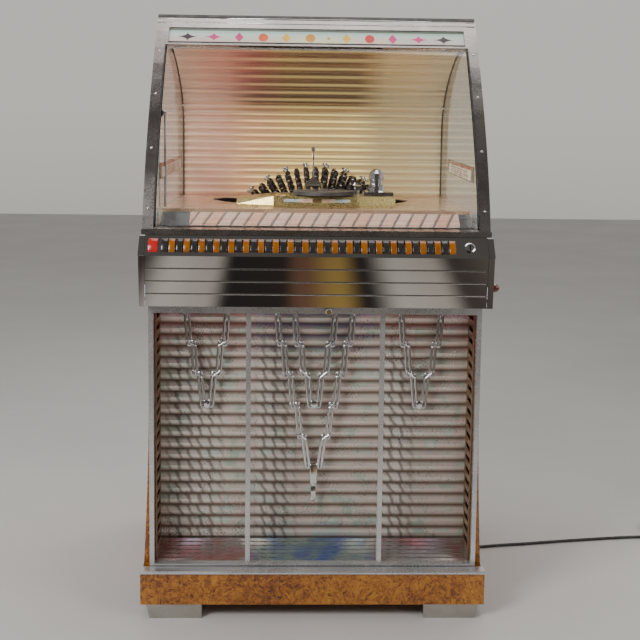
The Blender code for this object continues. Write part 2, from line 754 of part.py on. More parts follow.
def build_back():
    """The frame behind the cabinet and the door hinged on it."""
    frame = block((-INSIDE, FRAME_Y, BASE), (INSIDE, CABINET_BACK, PANEL_TOP))
    low = (-FRAME_OPENING_X, FRAME_Y - THROUGH, FRAME_OPENING_Z[0])
    cut(frame, block(low, (FRAME_OPENING_X, CABINET_BACK + THROUGH, FRAME_OPENING_Z[1])))
    door = block((-SERVICE_HALF, SERVICE_Y[0], SERVICE_Z[0]), (SERVICE_HALF, SERVICE_Y[1], SERVICE_Z[1]))
    axis_x = -SERVICE_HALF
    for z in SERVICE_LUGS_Z:
        top = z + LUG_HEIGHT
        low = (axis_x - LUG_HALF, CABINET_BACK - OVERLAP, z)
        lug = block(low, (axis_x + LUG_HALF, SERVICE_AXIS_Y + LUG_HALF, top))
        pin = rod(
            (axis_x, SERVICE_AXIS_Y, top - OVERLAP), (axis_x, SERVICE_AXIS_Y, top + SERVICE_PIN_LENGTH), SERVICE_PIN
        )
        join(frame, lug, pin)
        foot = top + SEAT
        head = foot + SERVICE_PIN_LENGTH
        join(door, rod((axis_x, SERVICE_AXIS_Y, foot), (axis_x, SERVICE_AXIS_Y, head), SERVICE_KNUCKLE))
        bore = rod(
            (axis_x, SERVICE_AXIS_Y, foot - THROUGH), (axis_x, SERVICE_AXIS_Y, head + THROUGH), SERVICE_PIN + PLAY
        )
        cut(door, bore)
        low = (axis_x - SERVICE_NOTCH, SERVICE_Y[0] - SERVICE_NOTCH, z - THROUGH)
        cut(door, block(low, (axis_x + SERVICE_NOTCH, SERVICE_Y[1] + SERVICE_NOTCH, foot)))
    finish(frame, "back_frame", "painted_dark")
    finish(door, "rear_service_door", "painted_dark", pivot=(axis_x, SERVICE_AXIS_Y, SERVICE_Z[0]))


def build_door():
    """The grille door: frame, screen, returns and the floor of the recess."""
    back = DOOR_FRONT + DOOR_DEPTH
    frame = block((-DOOR_HALF, DOOR_FRONT, DOOR_BOTTOM), (DOOR_HALF, back, DOOR_TOP))
    half = STILE_WIDTH / 2
    edges = (-DOOR_HALF + STILE_WIDTH, -DIVIDER_X - half, -DIVIDER_X + half)
    edges += tuple(-edge for edge in reversed(edges))
    bays = []
    for left, right in zip(edges[::2], edges[1::2]):
        low = (left, DOOR_FRONT - THROUGH, DOOR_BOTTOM + BOTTOM_RAIL)
        bays.append(block(low, (right, back + THROUGH, DOOR_TOP - TOP_RAIL)))
    cut(frame, *bays)
    radius = PINTLE_RADIUS + PLAY
    low_bore = rod(
        (HINGE_X, HINGE_Y, DOOR_BOTTOM - THROUGH), (HINGE_X, HINGE_Y, DOOR_BOTTOM + BORE_DEPTH), radius
    )
    high_bore = rod((HINGE_X, HINGE_Y, DOOR_TOP - BORE_DEPTH), (HINGE_X, HINGE_Y, DOOR_TOP + THROUGH), radius)
    latch_bore = rod(
        (LATCH_X, DOOR_FRONT - THROUGH, LATCH_Z), (LATCH_X, back + THROUGH, LATCH_Z), LATCH_SHAFT + PLAY
    )
    cut(frame, low_bore, high_bore, latch_bore)
    finish(frame, "door_frame", "satin_aluminium", pivot=(HINGE_X, HINGE_Y, DOOR_BOTTOM))

    inner = RETURN_INNER_X - SEAT
    pitch = (SCREEN_TOP - SCREEN_BOTTOM) / SCREEN_RIBS
    outline = [(SCREEN_BACK, SCREEN_TOP), (SCREEN_BACK, SCREEN_BOTTOM)]
    for rib in range(SCREEN_RIBS):
        foot = SCREEN_BOTTOM + pitch * rib
        outline.append((SCREEN_FRONT + SCREEN_RELIEF, foot))
        outline.append((SCREEN_FRONT, foot + pitch / 2))
    outline.append((SCREEN_FRONT + SCREEN_RELIEF, SCREEN_TOP))
    screen = prism(outline, "x", -inner, inner)
    finish(screen, "grille_screen", "champagne_screen", smooth=True, pivot=(HINGE_X, HINGE_Y, DOOR_BOTTOM))

    front = back + SEAT
    low = (RETURN_INNER_X, front, RETURN_BOTTOM)
    side = block(low, (RETURN_INNER_X + RETURN_WALL, RETURN_BACK, SCREEN_TOP))
    slots = []
    for place in range(SLOT_COUNT):
        z = SCREEN_BOTTOM + SLOT_PITCH * (place + 0.5) - SLOT_HEIGHT / 2
        low = (RETURN_INNER_X - THROUGH, front + SLOT_MARGIN, z)
        high = (RETURN_INNER_X + RETURN_WALL + THROUGH, SCREEN_FRONT - SLOT_MARGIN, z + SLOT_HEIGHT)
        slots.append(block(low, high))
    cut(side, *slots)
    left = mirrored(side)
    finish(side, "right_recess_return", "champagne_screen", pivot=(HINGE_X, HINGE_Y, DOOR_BOTTOM))
    finish(left, "left_recess_return", "champagne_screen", pivot=(HINGE_X, HINGE_Y, DOOR_BOTTOM))

    end = SCREEN_FRONT - SEAT
    outline = [(end, FLOOR_BACK_Z), (front, FLOOR_FRONT_Z)]
    rise = FLOOR_BACK_Z - FLOOR_FRONT_Z
    for rib in range(FLOOR_RIBS):
        for share, relief in ((rib, 0.0), (rib + 0.5, FLOOR_RELIEF)):
            run = share / FLOOR_RIBS
            y = front + (end - front) * run
            outline.append((y, FLOOR_FRONT_Z + rise * run + FLOOR_WALL + relief))
    outline.append((end, FLOOR_BACK_Z + FLOOR_WALL))
    floor = prism(outline, "x", -inner, inner)
    finish(floor, "recess_floor", "chrome", pivot=(HINGE_X, HINGE_Y, DOOR_BOTTOM))


def build_latch():
    """Round latch knob with its shaft and the cam behind the rail."""
    front = DOOR_FRONT - SEAT
    back = DOOR_FRONT + DOOR_DEPTH + SEAT
    length, half, wall = LATCH_CAM
    profile = (
        (0.0, LATCH_RADIUS - LATCH_EDGE), (LATCH_EDGE, LATCH_RADIUS), (LATCH_KNOB, LATCH_RADIUS),
    )
    knob = turned(profile, (LATCH_X, front - LATCH_KNOB, LATCH_Z), (0, 1, 0), ROUND_SIDES)
    shaft = rod((LATCH_X, front - OVERLAP, LATCH_Z), (LATCH_X, back + OVERLAP, LATCH_Z), LATCH_SHAFT)
    cam = block((LATCH_X - half / 2, back, LATCH_Z - half / 2), (LATCH_X + length, back + wall, LATCH_Z + half / 2))
    join(knob, shaft, cam)
    finish(knob, "door_latch", "chrome", smooth=True, pivot=(LATCH_X, DOOR_FRONT, LATCH_Z))


def link_pieces(leg, middle, turn):
    """Strands and knuckles of one chain leg."""
    pieces = []
    for place, (top, low) in enumerate(leg):
        shift = STRAND_SHIFT * (1 if place % 2 else -1)
        deep = STRAND[1] / 2 + shift
        for side in (-1, 1):
            offset = middle + side * STRAND_PITCH
            outline = [
                (offset + turn * top[0] - STRAND[0] / 2, top[1]), (offset + turn * top[0] + STRAND[0] / 2, top[1]),
                (offset + turn * low[0] + STRAND[0] / 2, low[1]), (offset + turn * low[0] - STRAND[0] / 2, low[1]),
            ]
            pieces.append(prism(outline, "y", CHAIN_Y - deep, CHAIN_Y + deep))
    for before, after in zip(leg, leg[1:]):
        low = np.array((before[1][0] * turn + middle, CHAIN_Y, before[1][1]))
        high = np.array((after[0][0] * turn + middle, CHAIN_Y, after[0][1]))
        reach = (high - low) / np.linalg.norm(high - low) * KNUCKLE_REACH
        pieces.append(rod(low - reach, high + reach, KNUCKLE_RADIUS, KNUCKLE_SIDES))
    return pieces


def hanging_vee(leg, tip, radii, middle):
    """Both legs of a chain and the pendant they meet in."""
    pieces = link_pieces(leg, middle, 1) + link_pieces(leg, middle, -1)
    tops = [(middle + side * leg[0][0][0], leg[0][0][1]) for side in (1, -1)]
    for x, z in tops:
        head = (x, CHAIN_Y, HANGER_Z[0] + OVERLAP)
        pieces.append(rod((x, CHAIN_Y, z - KNUCKLE_RADIUS), head, KNUCKLE_RADIUS, KNUCKLE_SIDES))
    last = leg[-1][1]
    width = abs(last[0]) + STRAND_PITCH + STRAND[0] / 2
    z = last[1]
    low = (middle - width, CHAIN_Y - KNUCKLE_RADIUS, z - KNUCKLE_RADIUS)
    pieces.append(block(low, (middle + width, CHAIN_Y + KNUCKLE_RADIUS, z + KNUCKLE_RADIUS)))
    start = (middle + tip[0][0], CHAIN_Y, z)
    end = (middle + tip[-1][0], CHAIN_Y, tip[-1][1])
    pieces.append(tapered(start, end, radii, KNUCKLE_SIDES))
    return pieces


def build_chains():
    """Three ornaments, each hung from a plate behind the door's top rail."""
    back = DOOR_FRONT + DOOR_DEPTH + SEAT
    bays = (
        ("left_chain", SIDE_CHAIN_X[0], False), ("right_chain", SIDE_CHAIN_X[1], False),
        ("centre_chains", 0.0, True),
    )
    for name, middle, both in bays:
        leg = LONG_LEG if both else SHORT_LEG
        half = -leg[0][0][0] + HANGER_MARGIN
        low = (middle - half, back, HANGER_Z[0])
        body = block(low, (middle + half, HANGER_BACK, HANGER_Z[1]))
        pieces = hanging_vee(SHORT_LEG, SHORT_TIP, SHORT_TIP_RADII, middle)
        if both:
            pieces += hanging_vee(LONG_LEG, LONG_TIP, TIP_RADII, middle)
        join(body, *pieces)
        finish(body, name, "chrome", pivot=(HINGE_X, HINGE_Y, DOOR_BOTTOM))


SLOPE_RUN = (Vector(PANEL_HIGH) - Vector(PANEL_LOW)).normalized()
SLOPE_OUT = Vector((-SLOPE_RUN.y, SLOPE_RUN.x))


def on_slope(s, h):
    """The y and z of a place on the key panel: s up the slope, h out of it."""
    point = Vector(PANEL_LOW) + SLOPE_RUN * s + SLOPE_OUT * h
    return (point.x, point.y)


def slope_bar(x_range, places):
    """A bar along x whose section is given in slope places."""
    return prism([on_slope(s, h) for s, h in places], "x", *x_range)


def slope_box(x_range, s_range, h_range):
    """A box lying on the slope."""
    (s0, s1), (h0, h1) = s_range, h_range
    return slope_bar(x_range, ((s0, h0), (s1, h0), (s1, h1), (s0, h1)))


def apron_places():
    """Outer face of the apron from bottom to top, one bead over each strip."""
    low, high = Vector(APRON_BOTTOM), Vector(APRON_TOP)
    run = (high - low).normalized()
    out = Vector((-run.y, run.x))
    pitch = (high - low).length / APRON_STRIPS
    places = [low]
    for strip in range(1, APRON_STRIPS):
        middle = low + run * pitch * strip
        places.append(middle - run * BEAD_HEIGHT / 2)
        places.append(middle + out * BEAD_RELIEF)
        places.append(middle + run * BEAD_HEIGHT / 2)
    places.append(high)
    return [tuple(place) for place in places]


def build_housing():
    """Apron, end caps and the sloped panel that carries the keys."""
    outer = apron_places()
    low, high = Vector(APRON_BOTTOM), Vector(APRON_TOP)
    sheet = APRON_SHEET
    outline = outer + [
        (high.x + sheet, high.y), (low.x + sheet, low.y + sheet), (APRON_FLANGE_BACK, low.y + sheet),
        (APRON_FLANGE_BACK, low.y),
    ]
    apron = prism(outline, "x", -APRON_HALF, APRON_HALF)
    pin_end = low.y + sheet / 2 - UPPER_PINTLE
    join(apron, rod((HINGE_X, HINGE_Y, low.y + sheet / 2), (HINGE_X, HINGE_Y, pin_end), PINTLE_RADIUS))
    finish(apron, "apron_panel", "chrome")

    proud = CAP_PROUD
    back = CABINET_FRONT - SEAT
    slope_top = (PANEL_HIGH[0] - proud, CAP_TOP)
    outline = (
        (back, low.y), (low.x - proud, low.y), (high.x - proud, high.y), (PANEL_LOW[0] - 2 * proud, PANEL_LOW[1]),
        slope_top, (back, CAP_TOP),
    )
    right = prism(outline, "x", *CAP_X)
    left = mirrored(right)
    x, y, z = KNOB_CENTRE
    cut(right, rod((CAP_X[0] - THROUGH, y, z), (CAP_X[1] + THROUGH, y, z), KNOB_SHAFT + PLAY, KNOB_SIDES))
    finish(right, "right_end_cap", "chrome")
    finish(left, "left_end_cap", "chrome")

    path = (PANEL_LIP, PANEL_LOW, PANEL_HIGH, PANEL_BACK)
    panel = prism(band(path, SHEET_HALF, -SHEET_HALF), "x", -APRON_HALF, APRON_HALF)
    play = KEY_PLAY
    s_range = (KEY_S[0] - play, KEY_S[1] + play)
    h_range = (-THROUGH, THROUGH)
    half = KEY_WIDTH / 2 + play
    last = KEY_FIRST_X + KEY_PITCH * (KEY_COUNT - 1)
    slot = slope_box((KEY_FIRST_X - half, last + half), s_range, h_range)
    red = slope_box((RED_KEY_X[0] - play, RED_KEY_X[1] + play), s_range, h_range)
    coin_y, coin_z = on_slope(COIN_S, -THROUGH)
    out = (0.0, SLOPE_OUT.x, SLOPE_OUT.y)
    origin = (COIN_X, coin_y, coin_z)
    hole = turned(((0.0, NECK_RADIUS + PLAY), (2 * THROUGH, NECK_RADIUS + PLAY)), origin, out, ROUND_SIDES)
    cut(panel, slot, red, hole)
    finish(panel, "key_panel", "chrome")

    foot = SHEET_HALF + SEAT
    low_rise, rise = BEZEL_RISE
    coin_y, coin_z = on_slope(COIN_S, 0.0)
    profile = (
        (-NECK_DEPTH, NECK_RADIUS), (foot, NECK_RADIUS), (foot, BEZEL_RADIUS), (foot + low_rise, BEZEL_RADIUS),
        (foot + rise, NECK_RADIUS),
    )
    bezel = turned(profile, (COIN_X, coin_y, coin_z), out, ROUND_SIDES)
    gap, tall = COIN_GAP
    x_range = (COIN_X - gap / 2, COIN_X + gap / 2)
    h_range = (-NECK_DEPTH - THROUGH, foot + rise + THROUGH)
    cut(bezel, slope_box(x_range, (COIN_S - tall / 2, COIN_S + tall / 2), h_range))
    finish(bezel, "coin_bezel", "chrome", smooth=True)


def key_section(upper):
    """Section of one key in slope places, its stem at the lower or the upper end."""
    low, high = KEY_S
    top_low, top_high = KEY_EDGES_H
    face = [(high, top_high), KEY_RIDGE, (low, top_low)]
    if upper:
        stem = high - STEM_WIDTH
        return [(low, KEY_SKIRT_H), (stem, KEY_SKIRT_H), (stem, STEM_H), (high, STEM_H)] + face
    stem = low + STEM_WIDTH
    return [(low, STEM_H), (stem, STEM_H), (stem, KEY_SKIRT_H), (high, KEY_SKIRT_H)] + face


def build_keys():
    """Black and amber keys in turn, ten of a colour on one bar, and the red key."""
    pivot = (0.0, *on_slope(KEY_S[0], 0.0))
    half = KEY_WIDTH / 2
    for colour, first in (("black", 0), ("amber", 1)):
        upper = colour == "amber"
        section = key_section(upper)
        stem_low = KEY_S[1] - STEM_WIDTH if upper else KEY_S[0]
        bar_s = (stem_low + BAR_INSET, stem_low + STEM_WIDTH - BAR_INSET)
        for bank, side in enumerate(("left", "right")):
            places = [first + 2 * (KEYS_PER_BANK * bank + key) for key in range(KEYS_PER_BANK)]
            middles = [KEY_FIRST_X + KEY_PITCH * place for place in places]
            keys = [slope_bar((x - half, x + half), section) for x in middles]
            bar = slope_box((middles[0] - half + BAR_INSET, middles[-1] + half - BAR_INSET), bar_s, BAR_H)
            join(bar, gathered(keys))
            finish(bar, f"{colour}_keys_{side}", f"{colour}_plastic", pivot=pivot)
    low, high = KEY_S
    top_low, top_high = KEY_EDGES_H
    section = ((low, STEM_H), (high, STEM_H), (high, top_high), KEY_RIDGE, (low, top_low))
    finish(slope_bar(RED_KEY_X, section), "red_key", "red_plastic", pivot=pivot)


def build_coin_path():
    """The chute from the entry down to the cash box, and the box."""
    h = -NECK_DEPTH - SEAT
    mouth_low, mouth_high = (on_slope(s, h) for s in CHUTE_MOUTH_S)
    outline = (
        mouth_low, CHUTE_LOW, (CHUTE_LOW[0], CHUTE_END_Z), (CHUTE_HIGH[0], CHUTE_END_Z), CHUTE_HIGH, mouth_high,
    )
    chute = prism(outline, "x", *CHUTE_X)
    wall = CHUTE_WALL
    below = CHUTE_END_Z - THROUGH
    inner_low, inner_high = CHUTE_MOUTH_S[0] + wall, CHUTE_MOUTH_S[1] - wall
    hollow = (
        on_slope(inner_low, h + THROUGH), (CHUTE_LOW[0] + wall, CHUTE_LOW[1] + wall), (CHUTE_LOW[0] + wall, below),
        (CHUTE_HIGH[0] - wall, below), (CHUTE_HIGH[0] - wall, CHUTE_HIGH[1] - wall), on_slope(inner_high, h + THROUGH),
    )
    cut(chute, prism(hollow, "x", CHUTE_X[0] + wall, CHUTE_X[1] - wall))
    (y0, z0), (y1, z1) = CHUTE_TAB
    join(chute, block((CHUTE_X[1] - OVERLAP, y0, z0), (INSIDE, y1, z1)))
    finish(chute, "coin_chute", "grey_casting")
    wall = CASH_WALL
    box = block((CASH_X, CASH_Y[0], CASH_Z[0]), (INSIDE, CASH_Y[1], CASH_Z[1]))
    low = (CASH_X + wall, CASH_Y[0] + wall, CASH_Z[0] + wall)
    cut(box, block(low, (INSIDE - wall, CASH_Y[1] - wall, CASH_Z[1] + THROUGH)))
    finish(box, "cash_box", "grey_casting")


def build_side_knob():
    """Ball knob whose shaft runs through the right end cap."""
    x, y, z = KNOB_CENTRE
    collar, wall = KNOB_COLLAR
    inner = APRON_HALF - wall
    steps = 6
    profile = [(0.0, collar), (wall, collar), (wall, KNOB_SHAFT)]
    for step in range(steps + 1):
        angle = math.pi * (0.12 + 0.85 * step / steps)
        profile.append((x - inner - KNOB_RADIUS * math.cos(angle), KNOB_RADIUS * math.sin(angle)))
    knob = turned(profile, (inner, y, z), (1, 0, 0), KNOB_SIDES)
    finish(knob, "side_knob", "brown_knob", smooth=True, pivot=(x, y, z))


RAIL_PATH = bend(*RAIL_CURVE, RAIL_STEPS)
RAIL_LENGTH = length_of(RAIL_PATH)
HEADER_START = RAIL_LENGTH - HEADER_LENGTH
REAR_PATH = [REAR_RAIL_FOOT] + bend(*REAR_RAIL_CURVE, REAR_RAIL_STEPS) + [REAR_RAIL_END]
LID_PIVOT = (0.0, *LID_AXIS)


def between(near, far):
    """Far minus near for a pair of points."""
    return (far[0] - near[0], far[1] - near[1])


def at_length(path, distance, left=0.0):
    """The place a distance along a path, moved to its left."""
    ends = part_of(path, distance - OVERLAP, distance + OVERLAP)
    run = Vector(between(ends[0], ends[-1])).normalized()
    middle = (Vector(ends[0]) + Vector(ends[-1])) / 2
    return tuple(middle + Vector((-run.y, run.x)) * left)


def build_lid_frame():
    """Sill, side bars, front and rear rails and the header as one welded frame."""
    (front, back), (wide, narrow) = SILL_Y, SILL_HALF
    outline = ((-wide, front), (wide, front), (narrow, back), (-narrow, back))
    frame = prism(outline, "z", *SILL_Z)
    half = RAIL_HALF
    header = part_of(RAIL_PATH, HEADER_START, RAIL_LENGTH - OVERLAP)
    pieces = []
    bar = block((SIDE_BAR_X[0], SIDE_BAR_Y[0], SIDE_BAR_Z[0]), (SIDE_BAR_X[1], SIDE_BAR_Y[1], SIDE_BAR_Z[1]))
    rail = prism(band(RAIL_PATH, half, -half), "x", *RAIL_X)
    rear = prism(band(REAR_PATH, REAR_RAIL_HALF, -REAR_RAIL_HALF), "x", *REAR_RAIL_X)
    for piece in (bar, rail, rear):
        pieces += [piece, mirrored(piece)]
    reach = RAIL_X[0] + OVERLAP
    head = prism(band(header, HEADER_HALF, -HEADER_HALF), "x", -reach, reach)
    window = part_of(RAIL_PATH, HEADER_START + WINDOW_START, HEADER_START + WINDOW_START + WINDOW_LENGTH)
    deep = HEADER_HALF + THROUGH
    cut(head, prism(band(window, deep, -deep), "x", -WINDOW_HALF, WINDOW_HALF))
    half_width, tall = LAMP_BRACKET
    lamp = at_length(RAIL_PATH, HEADER_START + LAMP_AT, -LAMP_BEHIND)
    rest = at_length(RAIL_PATH, HEADER_START + LAMP_AT + WINDOW_LENGTH, -HEADER_HALF + OVERLAP)
    arm = band([lamp, rest], tall, -tall)
    inner = LAMP_HALF + SEAT
    bracket = prism(arm, "x", inner, inner + half_width)
    pieces += [head, bracket, mirrored(bracket)]
    y, z = STAY_PIVOT
    lug_half, tall = STAY_LUG
    lug = block((-reach, y - lug_half, z - tall), (STAY_X[0] - SEAT, y + lug_half, z + tall))
    pin = rod((-reach - THROUGH, y, z), (STAY_X[1] + SEAT, y, z), STAY_PIN)
    join(frame, *pieces, lug, pin)
    finish(frame, "lid_frame", "satin_aluminium", pivot=LID_PIVOT)

    seat = SEAT
    start = HEADER_START + WINDOW_START
    strip = part_of(RAIL_PATH, start + seat, start + WINDOW_LENGTH - seat)
    strip = prism(band(strip, STRIP_HALF, -STRIP_HALF), "x", -WINDOW_HALF + seat, WINDOW_HALF - seat)
    finish(strip, "name_strip", "lit_strip", pivot=LID_PIVOT)
    tube = rod((-LAMP_HALF, *lamp), (LAMP_HALF, *lamp), LAMP_RADIUS, PIN_SIDES)
    finish(tube, "hood_lamp_tube", "lamp_glass", smooth=True, pivot=LID_PIVOT)


def build_lid_glass():
    """Curved front glass between the rails and a flat glass on the inside of each side."""
    near, far = GLASS_IN_RAIL
    path = part_of(RAIL_PATH, GLASS_START, HEADER_START - SEAT)
    inner = RAIL_X[0] - SEAT
    front = prism(band(path, far, near), "x", -inner, inner)
    finish(front, "front_glass", "clear_glass", smooth=True, pivot=LID_PIVOT)

    edge = [place for place in shifted(RAIL_PATH, SIDE_GLASS_SHIFT)]
    heights = [place[1] for place in edge]
    ys = [place[0] for place in edge]
    low, high = SIDE_GLASS_BOTTOM, SIDE_GLASS_TOP
    outline = [(float(np.interp(low, heights, ys)), low)]
    outline += [place for place in edge if low < place[1] < high]
    outline.append((float(np.interp(high, heights, ys)), high))
    rear_heights = [place[1] for place in REAR_PATH]
    rear_ys = [place[0] for place in REAR_PATH]
    outline.append((float(np.interp(high, rear_heights, rear_ys)), high))
    outline += [place for place in reversed(REAR_PATH) if low < place[1] < high]
    outline.append((float(np.interp(low, rear_heights, rear_ys)), low))
    right = prism(outline, "x", *SIDE_GLASS_X)
    left = mirrored(right)
    y, z = STAY_PIVOT
    notch = STAY_NOTCH
    wide = 2 * notch
    cut(left, block(
        (-SIDE_GLASS_X[1] - THROUGH, y - wide, z - notch), (-SIDE_GLASS_X[0] + THROUGH, y + notch, z + notch)
    ))
    finish(right, "right_side_glass", "clear_glass", pivot=LID_PIVOT)
    finish(left, "left_side_glass", "clear_glass", pivot=LID_PIVOT)


def build_lid_top():
    """Dark curved top with side cheeks and the hinge sleeves behind."""
    path = bend(*SHELL_CURVE, SHELL_STEPS)
    wall = SHELL_WALL
    shell = prism(band(path, 0.0, -wall), "x", -SHELL_HALF, SHELL_HALF)
    inside = shifted(path, -wall / 2)
    low_edge = shifted(REAR_PATH, -REAR_RAIL_HALF - SEAT)
    heights = [place[1] for place in low_edge]
    ys = [place[0] for place in low_edge]
    start = inside[0]
    end = inside[-1]
    lower = [place for place in low_edge if place[1] > end[1] and place[0] > start[0]]
    first = (start[0], float(np.interp(start[0], ys[::-1], heights[::-1])))
    last = (float(np.interp(end[1], heights, ys)), end[1])
    outline = list(inside) + [last] + lower + [first]
    cheek = prism(outline, "x", *CHEEK_X)
    pieces = [cheek, mirrored(cheek)]
    bores = []
    for side in (-1, 1):
        start_x, end_x = sorted(side * x for x in KNUCKLES_X)
        pieces.append(rod((start_x, *LID_AXIS), (end_x, *LID_AXIS), SLEEVE_RADIUS, ROUND_SIDES))
        web = band([inside[-2], inside[-1], LID_AXIS], wall / 3, -wall / 3)
        pieces.append(prism(web, "x", start_x + SEAT, end_x - SEAT))
    join(shell, *pieces)
    reach = CABINET_HALF + THROUGH
    bores.append(rod((-reach, *LID_AXIS), (reach, *LID_AXIS), LID_ROD + PLAY, ROUND_SIDES))
    cut(shell, *bores)
    finish(shell, "lid_top_shell", "painted_dark", pivot=LID_PIVOT)


def build_stay():
    """Prop rod that hangs from the left front rail."""
    y, z = STAY_PIVOT
    start_x, end_x = STAY_X
    middle = (start_x + end_x) / 2
    eye = rod((start_x, y, z), (end_x, y, z), STAY_EYE, ROUND_SIDES)
    join(eye, rod((middle, y, z - STAY_PIN - OVERLAP), (middle, y, STAY_BOTTOM), STAY_RADIUS, KNUCKLE_SIDES))
    reach = THROUGH
    cut(eye, rod((start_x - reach, y, z), (end_x + reach, y, z), STAY_PIN + PLAY))
    finish(eye, "stay_rod", "chrome", pivot=(middle, y, z))


def build_hood_back():
    """Rear wall of the hood with the rod that the lid turns on."""
    (front, back), (low, high) = BACK_SHELL_Y, BACK_SHELL_Z
    wall = block((-CABINET_HALF, front, low), (CABINET_HALF, back, high))
    flange_low, flange_high = BACK_FLANGE_Z
    flange = block((-BACK_FLANGE_X, BACK_FLANGE_Y, flange_low), (BACK_FLANGE_X, front + OVERLAP, flange_high))
    y, z = LID_AXIS
    half = BRACKET_HALF
    pieces = [flange]
    for start, end in BRACKETS_X:
        pieces.append(block((start, y - half + SEAT, high - half), (end, y + half, z + half)))
    ends = (BRACKETS_X[0][0] + OVERLAP, BRACKETS_X[-1][1] - OVERLAP)
    pieces.append(rod((ends[0], y, z), (ends[1], y, z), LID_ROD))
    join(wall, *pieces)
    finish(wall, "hood_back_shell", "painted_dark")


def build_reflector():
    """Scalloped sheet that rises behind the records and curves forward."""
    path = [(REFLECTOR_Y, DECK_Z[1] + SEAT)] + bend(*REFLECTOR_BEND, REFLECTOR_BACK_STEPS)
    total = length_of(path)
    count = round(total / REFLECTOR_PITCH)
    pitch = total / count
    lengths = np.concatenate([[0.0], np.cumsum(np.linalg.norm(np.diff(np.array(path), axis=0), axis=1))])
    smooth = part_of(path, 0.0, total)
    front = []
    for rib in range(count):
        for share, rise in SCALLOP_SHARES:
            mark = pitch * (rib + share)
            here = np.array([np.interp(mark, lengths, np.array(path)[:, k]) for k in range(2)])
            ahead = np.array([np.interp(mark + OVERLAP, lengths, np.array(path)[:, k]) for k in range(2)])
            run = (ahead - here) / np.linalg.norm(ahead - here)
            left = np.array((-run[1], run[0]))
            front.append(tuple(here + left * REFLECTOR_RELIEF * rise))
    front.append(path[-1])
    outline = front + shifted(smooth, -REFLECTOR_WALL)[::-1]
    sheet = prism(outline, "x", -INNER_HALF, INNER_HALF)
    finish(sheet, "reflector", "gold_reflector", smooth=True)


def build_deck():
    """Deck plate with a lens shaped opening for the records."""
    low, high = DECK_Z
    deck = block((-INNER_HALF, DECK_Y[0], low), (INNER_HALF, DECK_Y[1], high))
    left, right = Vector(LENS_LEFT), Vector(LENS_RIGHT)
    half = (right - left).length / 2
    depth = left.y - LENS_FRONT_Y
    radius = (half ** 2 + depth ** 2) / (2 * depth)
    centre = Vector(((left.x + right.x) / 2, LENS_FRONT_Y + radius))
    start = math.atan2(left.y - centre.y, left.x - centre.x) % (2 * math.pi)
    end = math.atan2(right.y - centre.y, right.x - centre.x) % (2 * math.pi)
    if end < start:
        end += 2 * math.pi
    outline = []
    for step in range(LENS_STEPS + 1):
        angle = start + (end - start) * step / LENS_STEPS
        outline.append((centre.x + radius * math.cos(angle), centre.y + radius * math.sin(angle)))
    outline += list(LENS_BACK)
    cut(deck, prism(outline, "z", low - THROUGH, high + THROUGH))
    wall = DECK_FLANGE
    shelf = SHELF_Z[1] + SEAT
    side = block((INNER_HALF - wall, DECK_Y[0] + SEAT, shelf), (INNER_HALF - SEAT, SHELF_Y[1], low + OVERLAP))
    front = block((-INNER_HALF + SEAT, DECK_Y[0] + 2 * SEAT, low - DECK_FRONT_DROP),
                  (INNER_HALF - 2 * SEAT, DECK_Y[0] + wall, low + OVERLAP))
    join(deck, side, mirrored(side), front)
    finish(deck, "deck_plate", "copper_deck")


def build_rack():
    """Sloped rack behind the sill with its row of title cards."""
    rack = prism(RACK_PROFILE, "x", -RACK_HALF, RACK_HALF)
    low, high = Vector(RACK_PROFILE[3]), Vector(RACK_PROFILE[2])
    run = high - low
    out = Vector((-run.y, run.x)).normalized()
    pitch = (RACK_STRIPS_X[1] - RACK_STRIPS_X[0]) / RACK_STRIPS
    cards = []
    for place in range(RACK_STRIPS):
        start = RACK_STRIPS_X[0] + pitch * place
        end = start + pitch * RACK_STRIP_SHARE
        sections = []
        for rise in (-RACK_STRIP_RELIEF, RACK_STRIP_RELIEF):
            section = []
            for share, xs in ((RACK_EDGE_SHARES[0], (start, end)), (RACK_EDGE_SHARES[1], (end, start))):
                point = low + run * share + out * rise
                section += [(x + RACK_LEAN * share, point.x, point.y) for x in xs]
            sections.append(section)
        cards.append(loft(sections))
    join(rack, gathered(cards))
    finish(rack, "title_rack", "title_card")


def build_wheel():
    """Upright magazine wheel with places for records, turning on its own axle."""
    x, y, z = WHEEL_CENTRE
    core = WHEEL_RADIUS - RECORD_RADIUS
    sections = []
    for offset in WHEEL_OFFSETS:
        outer = core + math.sqrt(RECORD_RADIUS ** 2 - offset ** 2)
        ring = []
        for corner in range(2 * WHEEL_PLACES):
            angle = math.pi * (corner + 0.5) / WHEEL_PLACES
            radius = outer - WHEEL_SLOT * (corner % 2)
            ring.append((x + radius * math.cos(angle), y + offset, z + radius * math.sin(angle)))
        sections.append(ring)
    wheel = loft(sections)
    web = WHEEL_WEB / 2
    deep = -WHEEL_OFFSETS[0] + THROUGH
    wells = (
        rod((x, y - deep, z), (x, y - web, z), WHEEL_WELL, WHEEL_SIDES),
        rod((x, y + web, z), (x, y + deep, z), WHEEL_WELL, WHEEL_SIDES),
    )
    cut(wheel, *wells)
    low, high = RIM_WALL
    well = WHEEL_WELL - 2 * THROUGH
    rim = turned(
        ((low, well), (high, well), (high, RIM_RADIUS), (low, RIM_RADIUS)), (x, 0, z), (0, 1, 0), RIM_SIDES, True
    )
    start = FRONT_UPRIGHT[0][1] - THROUGH
    end = REAR_UPRIGHT[1][1] + THROUGH
    join(wheel, rim, rod((x, start, z), (x, end, z), AXLE_RADIUS, ROUND_SIDES))
    finish(wheel, "magazine_wheel", "record_vinyl", pivot=WHEEL_CENTRE)


